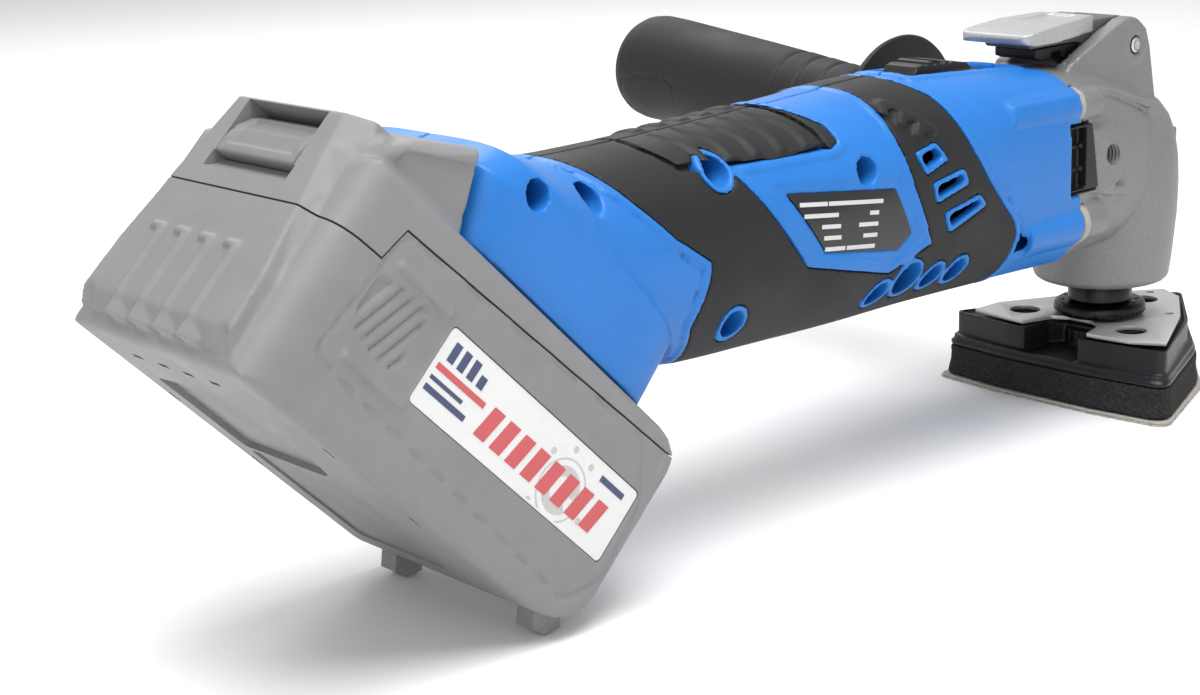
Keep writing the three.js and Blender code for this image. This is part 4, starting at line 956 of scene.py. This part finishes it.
def make_pad():
    base = combine(prism(delta(0.2), 11.5, 12.9, "xy"), ("+", prism(delta(-0.5), 12.8, 14.8, "xy")))
    walls = prism(delta(-2.2, 3), 14, 22.2, "xy")
    notch = prism([(-60, -13), (-14, -9.6), (-9, -6), (-9, 6), (-14, 9.6), (-60, 13)], 14.6, 30, "xy")
    rebate = combine(prism(delta(-3.4, 2), 21.2, 23, "xy"),
                     ("-", prism([(-60, -14.2), (-12, -10.8), (-12, 10.8), (-60, 14.2)],
                                                                      14.6, 30, "xy")))
    tray = combine(base, ("+", walls), ("-", notch), ("-", rebate), ("+", rod("z", 11.6, 14, 20)),
                   *[("-", rod("z", 4.9, 0, 30, hole)) for hole in PAD_HOLES],
                   ("-", rod("z", 5.4, 18.6, 30)), ("-", rod("z", 9, 0, 18.7)))
    rings = [("+", combine(rod("z", 6.3, 20.8, 22.4, hole), ("-", rod("z", 4.9, 20, 24, hole))))
             for hole in PAD_HOLES]
    knurl = []
    for k in range(24):
        angle = k * math.pi / 12
        knurl.append(("-", rod("z", 0.6, 15.2, 21, (11.7 * math.cos(angle), 11.7 * math.sin(angle)), 12)))
    tray = softened(combine(tray, *rings, *knurl), 0.45, 1, 0.5)
    finished(tray, "pad_frame", "spindle", BLACK, ["pad_body"])
    plate = prism(delta(-4.4, 2), 22.6, 23.8, "xy")
    plate = combine(plate, ("-",
                            prism(arced([(-60, -15), (-27, -13.4, 3), (-13, -9.4, 3), (-10, -4, 2),
                                         (-10, 4, 2),
                                              (-13, 9.4, 3), (-27, 13.4, 3), (-60, 15)], 3), 20, 26, "xy")))
    for k in range(3):
        plate = combine(plate, ("-", third(box(-30, -10, 33.4, 50, 20, 26), k)))
    plate = combine(plate, *[("-", rod("z", 5.0, 20, 30, hole)) for hole in PAD_HOLES],
                    ("-", rod("z", 5.4, 0, 30)),
                    ("-", rod("z", 1.4, 20, 30, (13.5, -17.5))), ("-", rod("z", 1.4, 20, 30, (33.5, 3.6))))
    bevel = plate.modifiers.new("edge", "BEVEL")
    bevel.width = 0.25
    bevel.segments = 2
    bevel.limit_method = "ANGLE"
    finished(applied(plate), "pad_top_plate", "spindle", PLATE, ["pad_plate"])
    side = [(1.5, 1.0), (2.0, 1.3), (4.2, 1.1), (6.0, 0.7), (8.5, 0.6), (10.6, 0.7), (11.2, 0.4)]
    block = loft([[(x, y, z) for x, y in delta(grow, 6)] for z, grow in side])
    block = combine(block, *[("-", rod("z", 4.9, -5, 30, hole)) for hole in PAD_HOLES],
                    ("-", rod("z", 8, 6, 30)))
    block = softened(block, 0.55, 1)
    rough = block.modifiers.new("pores", "DISPLACE")
    grain = bpy.data.textures.new("pores", "CLOUDS")
    grain.noise_scale = 1.6
    rough.texture = grain
    rough.strength = 0.45
    rough.mid_level = 0.75
    foam = finished(applied(block), "foam_block", "spindle", FOAM, ["pad_foam"])


def make_sheet():
    """Abrasive disc with a fleece back, both layers lying flat."""
    pieces = []
    for low, high, grow in ((0.0, 0.5, 2.5), (0.45, 1.2, 2.1)):
        layer = prism(delta(grow, 5), low, high, "xy")
        pieces.append(combine(layer, *[("-", rod("z", 4.9, -5, 30, hole)) for hole in PAD_HOLES]))
    for piece, name, material in zip(pieces, ("sanding_grit", "sanding_fleece"), (SHEET, FLEECE)):
        replaced = ["sanding_sheet"] if name == "sanding_grit" else []
        fine = softened(piece, 0.4, 0, 0.6)
        finished(fine, name, "spindle", material, replaced)


# ------------------------------------------------------------------ side handle
def make_handle():
    core = moved(turned([(0, 1.2), (9.2, 1.2), (9.8, 2), (10.6, 6), (12.9, 29.6), (13.2, 30.8), (0, 30.8)]),
                 Matrix.Rotation(-math.pi / 2, 4, "X"))
    ribs = [moved(box(-0.7, 0.7, 6, 30, 9.6, 13.6), Matrix.Rotation(k * math.pi / 4, 4, "Y"))
            for k in range(8)]
    limit = moved(turned([(0, 1.2), (10.4, 1.2), (11.2, 6), (13.6, 30.8), (0, 30.8)]),
                  Matrix.Rotation(-math.pi / 2, 4, "X"))
    every = combine(ribs[0], *[("+", rib) for rib in ribs[1:]])
    core = combine(core, ("+", combine(every, ("&", limit))), ("-", rod("y", 3.6, -1, 12)))
    finished(core, "handle_neck", "tool", HANDLE_BLACK, ["handle_core"], HANDLE_PLACE)
    stud = [(0, -7.6), (2.6, -7.6)]
    for k in range(13):
        stud += [(2.75, -7.2 + 1.25 * k), (3.1, -6.8 + 1.25 * k), (2.75, -6.4 + 1.25 * k)]
    stud += [(2.6, 9.6), (2.6, 10), (0, 10)]
    finished(moved(turned(stud, 40), Matrix.Rotation(-math.pi / 2, 4, "X")), "handle_thread", "tool",
             STEEL,
             ["handle_stud"], HANDLE_PLACE)
    disc = turned([(0, 31.2), (26.6, 31.2), (27.6, 31.5), (28, 32.3), (27.6, 33.2), (26.6, 33.5),
                   (24.6, 33.1), (16, 33.3),
                   (14.6, 34.2), (14, 34.8), (0, 34.8)])
    finished(moved(disc, Matrix.Rotation(-math.pi / 2, 4, "X")), "handle_disc", "tool",
             HANDLE_BLACK,
             ["handle_guard"], HANDLE_PLACE)
    profile = [(0, 35.2), (11.8, 35.2), (12.4, 35.8), (12.4, 46.6), (12.8, 48), (14.4, 50)]
    for radius, y in ((15.1, 58), (15.6, 67.5), (16.1, 77)):
        profile += [(radius, y - 1.3), (radius - 0.4, y - 0.8), (radius - 0.9, y), (radius - 0.4, y + 0.8),
                    (radius, y + 1.3)]
    profile += [(16.9, 94), (17.6, 110), (18.3, 126), (18.8, 138), (18.9, 146), (18.3, 150), (16.6, 153.4),
                (13.5, 155.2),
                (9, 156.1), (0, 156.4)]
    grip = moved(turned(profile), Matrix.Rotation(-math.pi / 2, 4, "X"))
    seam = [(x, y) for x, y in ((-8.4, 121), (-9.6, 129), (-9.4, 139), (-6, 148), (0, 150.6), (6, 148),
                                (9.4, 139),
                                (9.6, 129), (8.4, 121))]
    inner = prism(arced([(x, y, 4) for x, y in grown(seam, -1.0)], 5), -40, 0, "xy")
    panel = combine(prism(arced([(x, y, 4) for x, y in seam], 5), -40, 0, "xy"), ("-", inner))
    deep = moved(turned([(max(r - 0.8, 0), y if y < 150 else y - 0.8) for r, y in profile]),
                 Matrix.Rotation(-math.pi / 2, 4, "X"))
    for turn in (math.radians(64), math.radians(244)):
        line = moved(copy_of(panel), Matrix.Rotation(turn, 4, "Y"))
        grip = combine(grip, ("-", combine(line, ("-", copy_of(deep)))))
    bpy.data.objects.remove(panel)
    bpy.data.objects.remove(deep)
    finished(softened(grip, 0.6, 1, 0.6), "handle_sleeve", "tool", HANDLE_BLACK,
             ["handle_grip"], HANDLE_PLACE)


# ------------------------------------------------------------------ battery
REAR_U, FRONT_U, BOTTOM_T, SHOULDER_T, SIDE = -304.4, -183.2, -184.5, -128.3, 37.5
FACE_U = -308.0  # proud middle of the rear face
HOOD = [(-307.6, -146), (-307.8, -130.6), (-306.2, -126.6), (-302.6, -123.4), (-296, -119.2),
        (-279.6, -109.2),
        (-278.1, -112.4), (-271.2, -128.6), (-271.2, -146)]
PARTING = [(-330, -146.3), (-290.4, -145.4), (-288.6, -136.9), (-197.8, -133.4), (-170, -132), (-170, -60),
           (-330, -60)]
PARTING_GAP = 0.5
CONTACTS = [-12, -4, 4, 12]
LABEL = (-264.0, -189.8, -165.4, -145.8)


def pack_block():
    """Outer form of the pack: three rounded outlines crossed with one another."""
    side = prism(arced([(REAR_U, BOTTOM_T, 4), (FRONT_U, BOTTOM_T, 20), (FRONT_U, SHOULDER_T, 15),
                        (REAR_U, SHOULDER_T, 5)], 12), -SIDE, SIDE)
    plan = prism(arced([(REAR_U, -SIDE, 9), (FRONT_U, -SIDE, 4), (FRONT_U, SIDE, 4), (REAR_U, SIDE, 9)], 12),
                 -200, -100, "xy")
    end = prism(arced([(-SIDE, BOTTOM_T, 4), (SIDE, BOTTOM_T, 4), (SIDE, SHOULDER_T, 5),
                       (-SIDE, SHOULDER_T, 5)], 8),
                -320, -170, "yz")
    return combine(side, ("&", plan), ("&", end))


def centre_panel():
    """Proud middle of the latch face, with sloping flanks between it and the round corner pillars."""
    flat = [(31.2, -181), (31.0, -176), (30, -164), (26.3, -146), (22, -128), (20.6, -122)]
    foot = [(31.6, -181), (31.5, -176), (31.4, -164), (30.6, -146), (29, -128), (27.6, -120.6)]
    rings = []
    for u, side in ((FACE_U, flat), (-303.4, foot), (-296, foot)):
        rings.append([(u, y, t) for y, t in side] + [(u, -y, t) for y, t in side[::-1]])
    return loft(rings)


def hood():
    """Raised cap with the latch; its rear corners are chamfered and its long edges rounded."""
    rings = []
    for y, rear, shrink in ((33, -299.6, 2.6), (32.4, -300.4, 1.3), (31.2, -302, 0.4), (29.8, -303.6, 0),
                            (23.4, -307.4, 0), (21.6, -308, 0)):
        outline = grown(arced([(u, t, 2.4) for u, t in HOOD], 5), -shrink)
        rings.append([(max(u, rear), y, t) for u, t in outline])
    mirrored = [[(u, -y, t) for u, y, t in ring] for ring in rings]
    return loft(rings + mirrored[::-1])


def flank_cutter(outline, depth, s, plane_y=SIDE):
    return prism(outline, *sorted((s * (plane_y - depth), s * (plane_y + 4))))


def claw_pocket(s):
    """Curved notch low on each corner of the rear face."""
    pocket = moved(turned([(0, -9), (3.0, -9), (2.8, 0), (2.2, 4), (1.2, 7.4), (0, 8.4)], 40),
                   Matrix.Diagonal((1, 1.5, 1, 1)))
    return moved(pocket, Matrix.Translation((-307.4, s * 28.4, -182)) @ Matrix.Rotation(-0.35, 4, "Y"))


def pack_master():
    body = combine(pack_block(), ("+", centre_panel()), ("+", hood()))
    for s in (-1, 1):
        frame_cut = combine(flank_cutter(arced([(-288.5, -137.4, 3), (-197.8, -134, 4), (-187, -146, 6),
                                                (-185.2, -168, 6),
                                                (-193, -178.6, 5), (-292.4, -171.4, 4)], 5), 0.8, s),
                            ("-", flank_cutter(arced([(-287.3, -138.5, 3), (-198.2, -135.2, 4),
                                                      (-188.2, -146.6, 6),
                                                      (-186.4, -167.6, 6), (-193.5, -177.4, 5),
                                                      (-291.0, -170.3, 4)], 5), 5, s)))
        body = combine(body, ("-", frame_cut))
        body = combine(body, ("-",
                              flank_cutter([(-185.6, -146), (-170, -141), (-170, -141.8), (-185.6, -146.8)],
                                           0.8, s)))
        recess = flank_cutter(arced([(-288.2, -148.4, 1), (-278, -146.4, 1), (-270.6, -147.4, 1),
                                     (-270.6, -163.2, 1),
                                     (-277, -163.6, 1), (-288.6, -161, 1)], 3), 1.1, s)
        body = combine(body, ("-", recess))
        for k in range(8):
            u = -290.4 + 3.4 * k
            ridge = prism([(u, -166), (u + 1.9, -166), (u + 9.9, -145), (u + 8, -145)],
                          *sorted((s * 35.6, s * 37.5)))
            keep = prism([(-287.4, -149.2), (-278, -147.3), (-271.4, -148.3), (-271.4, -162.4),
                          (-277, -162.8),
                          (-287.8, -160.2)], *sorted((s * 34, s * 39)))
            body = combine(body, ("+", combine(ridge, ("&", keep))))
        for path in ([(-285.4, -143.9), (-266.6, -144.5)], [(-284.9, -167), (-264.6, -167.4)]):
            body = combine(body, ("+", prism(stroke(path, 1.7), *sorted((s * 36, s * 38.5)))))
        groove_outline = [(-299.0, -127.2), (-296.4, -122.4), (-276.6, -112.2), (-270.0, -127.2)]
        body = combine(body, ("-",
                              prism(arced([(u, t, 1.5) for u, t in groove_outline], 4),
                                    *sorted((s * 31.9, s * 34)))))
        for k in range(5):
            u = -292.4 + 4.4 * k
            line = prism([(u, -128), (u + 1.1, -128), (u + 1.1, -110), (u, -110)],
                         *sorted((s * 30.9, s * 34)))
            body = combine(body, ("-",
                                  combine(line, ("&", prism(groove_outline, *sorted((s * 30.5, s * 34)))))))
        body = combine(body, ("-", claw_pocket(s)))
    slope = prism([(-312, -176.4), (-308.2, -176.4), (-305.2, -182), (-305.2, -188), (-312, -188)], -40, 40)
    body = combine(body, ("-", slope))
    for k in range(4):
        y = 15.4 - 10.25 * k
        rib = prism([(-300, -159), (-309.0, -158.2), (-309.0, -176.6), (-300, -176.6)], y - 0.7, y + 0.7)
        step = box(-309.0, -300, y - 0.7, y + 4.4, -159.2, -158.0)
        fin = prism([(-300, -176.4), (-308.8, -176.4), (-306.8, -181.4), (-300, -181.4)], y - 0.8, y + 0.8)
        wedge = prism([(-300, y + 0.6), (-308.4, y + 0.6), (-306.4, y - 5.6), (-300, y - 5.6)], -181.8,
                      -176.2, "xy")
        body = combine(body, ("+", rib), ("+", step), ("+", fin), ("+", wedge))
    return body


def underside_cuts():
    """Slots and the sunk tray in the bottom face."""
    cuts = []
    for y in (19.8, 8.5, -2.2, -13.1):
        cuts.append(("-", box(-292.8, -291.3, y - 2.0, y + 2.0, -186, -181.5)))
    for u, y in ((-270.4, -32.2), (-240.5, -32.2), (-270.4, 32.2), (-240.5, 32.2)):
        cuts.append(("-", box(u - 2, u + 2, y - 0.6, y + 0.6, -186, -182.4)))
    cuts.append(("-", prism(arced([(-281, 26, 2), (-288.5, -27.6, 2), (-266, -15, 6), (-250, -11, 6),
                                   (-250, 26, 2)], 6),
                            -186, -183, "xy")))
    cuts.append(("-", prism(arced([(-248.4, 26, 2), (-248.4, -11, 5), (-206, -11, 2), (-206, 26, 2)], 6),
                            -186, -183.9, "xy")))
    return cuts


def inner_room():
    room = prism(arced([(-299.6, -182, 4), (-185.6, -182, 18), (-185.6, -131, 12), (-299.6, -131, 3)], 8),
                 -35, 35)
    plan = prism(arced([(-299.6, -35, 7), (-182, -35, 3), (-182, 35, 3), (-299.6, 35, 7)], 8), -190, -120,
                 "xy")
    return combine(room, ("&", plan))


def upper_region(grow):
    return prism(grown(PARTING, grow), -60, 60)


WINDOW_BACK = -294.1  # deep enough for the travel of the button
WINDOW_HALF = 16.0
WINDOW_TOP = -122.6


def latch_window():
    """Opening for the button and the finger pocket below it."""
    window = box(-320, WINDOW_BACK, -WINDOW_HALF, WINDOW_HALF, -137.5, WINDOW_TOP)
    finger = prism([(-312, -137.0), (-304.6, -137.0), (-304.9, -138.6), (-307.4, -141.2), (-312, -141.4)],
                   -16.6, 16.6)
    return combine(window, ("+", finger))


def make_battery():
    master = combine(softened(pack_master(), 0.62, 2), *underside_cuts())
    upper = combine(copy_of(master), ("&", upper_region(0)))
    rail = combine(box(-271.6, -206, -18, 18, -130, -118), ("+", box(-271.6, -206, -22, 22, -120.4, -115.6)))
    upper = combine(upper, ("-", combine(inner_room(), ("&", box(-320, -170, -60, 60, -190, -131)))),
                    ("+", rail))
    rooms = [box(-299, -289.6, -29, 29, -150, -125), box(-287.4, -274, -29, 29, -150, -125),
             box(-299, -274, -29, 29, -150, -139),
             rod("x", 3.6, -292, -285, (0, -131.4)), latch_window()]
    for y in CONTACTS:
        rooms.append(box(-250, -205, y - 1.2, y + 1.2, -122, -110))
    upper = combine(upper, *[("-", room) for room in rooms])
    finished(upper, "pack_cover", "battery", GREY, ["battery_upper_shell"], PACK_TURN)
    u0, u1, t0, t1 = LABEL
    label_seat = prism(arced([(u0 - 0.3, t0 - 0.3, 1.5), (u1 + 0.3, t0 - 0.3, 1.5),
                              (u1 + 0.3, t1 + 0.3, 1.5),
                              (u0 - 0.3, t1 + 0.3, 1.5)], 4), -40, -SIDE + 0.75)
    lower = combine(master, ("-", upper_region(PARTING_GAP)), ("-", inner_room()), ("-", label_seat))
    finished(lower, "pack_base", "battery", GREY, ["battery_lower_shell"], PACK_TURN)


def make_latch():
    side = arced([(-308.4, -137.2, 0.6), (-308.3, -133, 3), (-307.4, -129.4, 3), (-304.8, -125.4, 3),
                  (-301.6, -123.1, 2),
                  (-298.2, -123.0, 0), (-298.2, -137.2, 0)], 6)
    dish = prism([(-312, -135.4), (-307.6, -134.6), (-306.9, -130), (-304.4, -126.4), (-312, -124)], -13, 13)
    cap = combine(prism(side, -15.6, 15.6), ("-", dish))
    cap = softened(cap, 0.45, 3, 0.6)
    finished(cap, "latch_button", "battery_latch", GREY_DARK, ["battery_latch"], PACK_TURN)


def label_layer(outlines, low, high):
    """Closed thin layer on the label, from side outlines."""
    parts = [prism(outline, low, high) for outline in outlines]
    return combine(parts[0], *[("+", part) for part in parts[1:]]) if len(parts) > 1 else parts[0]


def bar(u, t, long, tall, lean=0.0):
    return [(u, t), (u + long, t), (u + long + lean, t + tall), (u + lean, t + tall)]


def ring_arc(at, inner, outer, start, end, steps=24):
    angles = np.linspace(start, end, steps)
    far = [(at[0] + outer * math.cos(a), at[1] + outer * math.sin(a)) for a in angles]
    near = [(at[0] + inner * math.cos(a), at[1] + inner * math.sin(a)) for a in angles[::-1]]
    return far + near


def make_label():
    u0, u1, t0, t1 = LABEL
    film_piece = prism(arced([(u0, t0, 1.4), (u1, t0, 1.4), (u1, t1, 1.4), (u0, t1, 1.4)], 6), -37.3, -36.9)
    finished(film_piece, "label_film", "battery", LABEL_WHITE, ["battery_label"], PACK_TURN)
    rings = [ring_arc((-212, -158), r, r + w, a, b)
             for r, w, a, b in ((3.4, 2.6, 0, 5.6), (7.4, 0.5, 0.6, 6.0))]
    for k in range(9):
        angle = 0.4 + k * 2 * math.pi / 9
        centre = (-212 + 10.2 * math.cos(angle), -158 + 10.2 * math.sin(angle))
        rings.append(circle(centre, 0.9, 16))
    inside = prism([(u0 + 1, t0 + 0.6), (u1 - 1, t0 + 0.6), (u1 - 1, t1 - 0.6), (u0 + 1, t1 - 0.6)], -40,
                   -30)
    shadow = combine(label_layer(rings, -37.34, -37.1), ("&", inside))
    finished(shadow, "label_rings", "battery", LABEL_GREY, [], PACK_TURN)
    navy = [bar(-261.0 + 3.6 * k, -152.9, 2.2, 4.8 if k < 3 else 3.0) for k in range(4)]
    navy += [bar(-262.4, -158.4, 11.5, 1.0), bar(-262.4, -161.2, 14.5, 1.5), bar(-203, -150.0, 9.4, 1.6)]
    finished(label_layer(navy, -37.4, -37.15), "label_bars", "battery", LABEL_NAVY, [],
             PACK_TURN)
    red = [bar(-262.4, -155.8, 17.5, 1.5)]
    red += [bar(-243.6 + 6.0 * k, -161.6, 3.9, 8.2, 1.7) for k in range(8)]
    finished(label_layer(red, -37.44, -37.2), "label_stripes", "battery", LABEL_RED, [],
             PACK_TURN)


def keep_cad():
    """CAD pieces that already have their final shape get a procedural surface."""
    looks = {STEEL: ["spindle_bearing_lower", "spindle_bearing_upper", "oscillating_fork", "eccentric_shaft",
                     "eccentric_bearing", "motor_bearing_rear", "clamp_rod", "switch_link", "latch_spring"],
             BLACK_STEEL: ["motor_can", "motor_end_plate"],
             BLACK: ["cooling_fan", "switch_module", "tool_terminal_block"],
             GREY: ["battery_foot_right", "battery_foot_left"],
             WINDINGS: ["motor_rotor"],
             BOARD: ["control_board", "battery_board", "battery_cells"]}
    for material, names in looks.items():
        for name in names:
            for holder in NODES[name].material_slots:
                holder.material = material


make_body()
make_rating_plate()
make_switch()
make_dial()
make_head()
make_gasket()
make_air_outlets()
make_screws()
make_spindle()
make_lever()
make_pad()
make_sheet()
make_handle()
make_battery()
make_latch()
make_label()
keep_cad()

# ------------------------------------------------------------------ stage
FLOOR_HALF = 3
WORLD_STRENGTH = 0.62
# Name, place in metres, size in metres and power in watts of each lamp.
LAMPS = [("key", (-0.35, -0.25, 1.25), 0.9, 20), ("fill", (-1.0, -0.9, 0.5), 0.9, 3),
         ("rim", (0.3, 0.9, 0.9), 0.7, 5)]
LAMP_AIM = (-0.12, 0, 0.06)
LENS_MM = 64.08
SENSOR_MM = 36
CAMERA_AT = (-0.563747, -0.402858, 0.201166)
CAMERA_TURN = (74.8004, 2.0902, -41.4076)


def make_stage():
    h = FLOOR_HALF
    floor = solid([(-h, -h, 0), (h, -h, 0), (h, h, 0), (-h, h, 0)], [(0, 1, 2, 3)], "floor")
    pale = Surface("floor_paper", (0.86, 0.86, 0.86), 0.85)
    pale.tint(pale.noise(90, 2), (0.84, 0.84, 0.845), 0.4)
    floor.data.materials.append(pale.material)
    world = bpy.data.worlds.new("studio")
    world.use_nodes = True
    world.node_tree.nodes["Background"].inputs["Color"].default_value = (1, 1, 1, 1)
    world.node_tree.nodes["Background"].inputs["Strength"].default_value = WORLD_STRENGTH
    bpy.context.scene.world = world
    for name, at, size, power in LAMPS:
        data = bpy.data.lights.new(name, "AREA")
        data.size = size
        data.energy = power
        lamp = linked(name, data)
        lamp.location = at
        lamp.rotation_euler = (Vector(LAMP_AIM) - Vector(at)).to_track_quat("-Z", "Y").to_euler()


def make_camera():
    data = bpy.data.cameras.new("view")
    data.lens = LENS_MM
    data.sensor_width = SENSOR_MM
    camera = linked("view", data)
    camera.location = CAMERA_AT
    camera.rotation_euler = [math.radians(a) for a in CAMERA_TURN]
    bpy.context.scene.camera = camera


make_stage()
make_camera()
bpy.context.scene.view_settings.view_transform = "Standard"
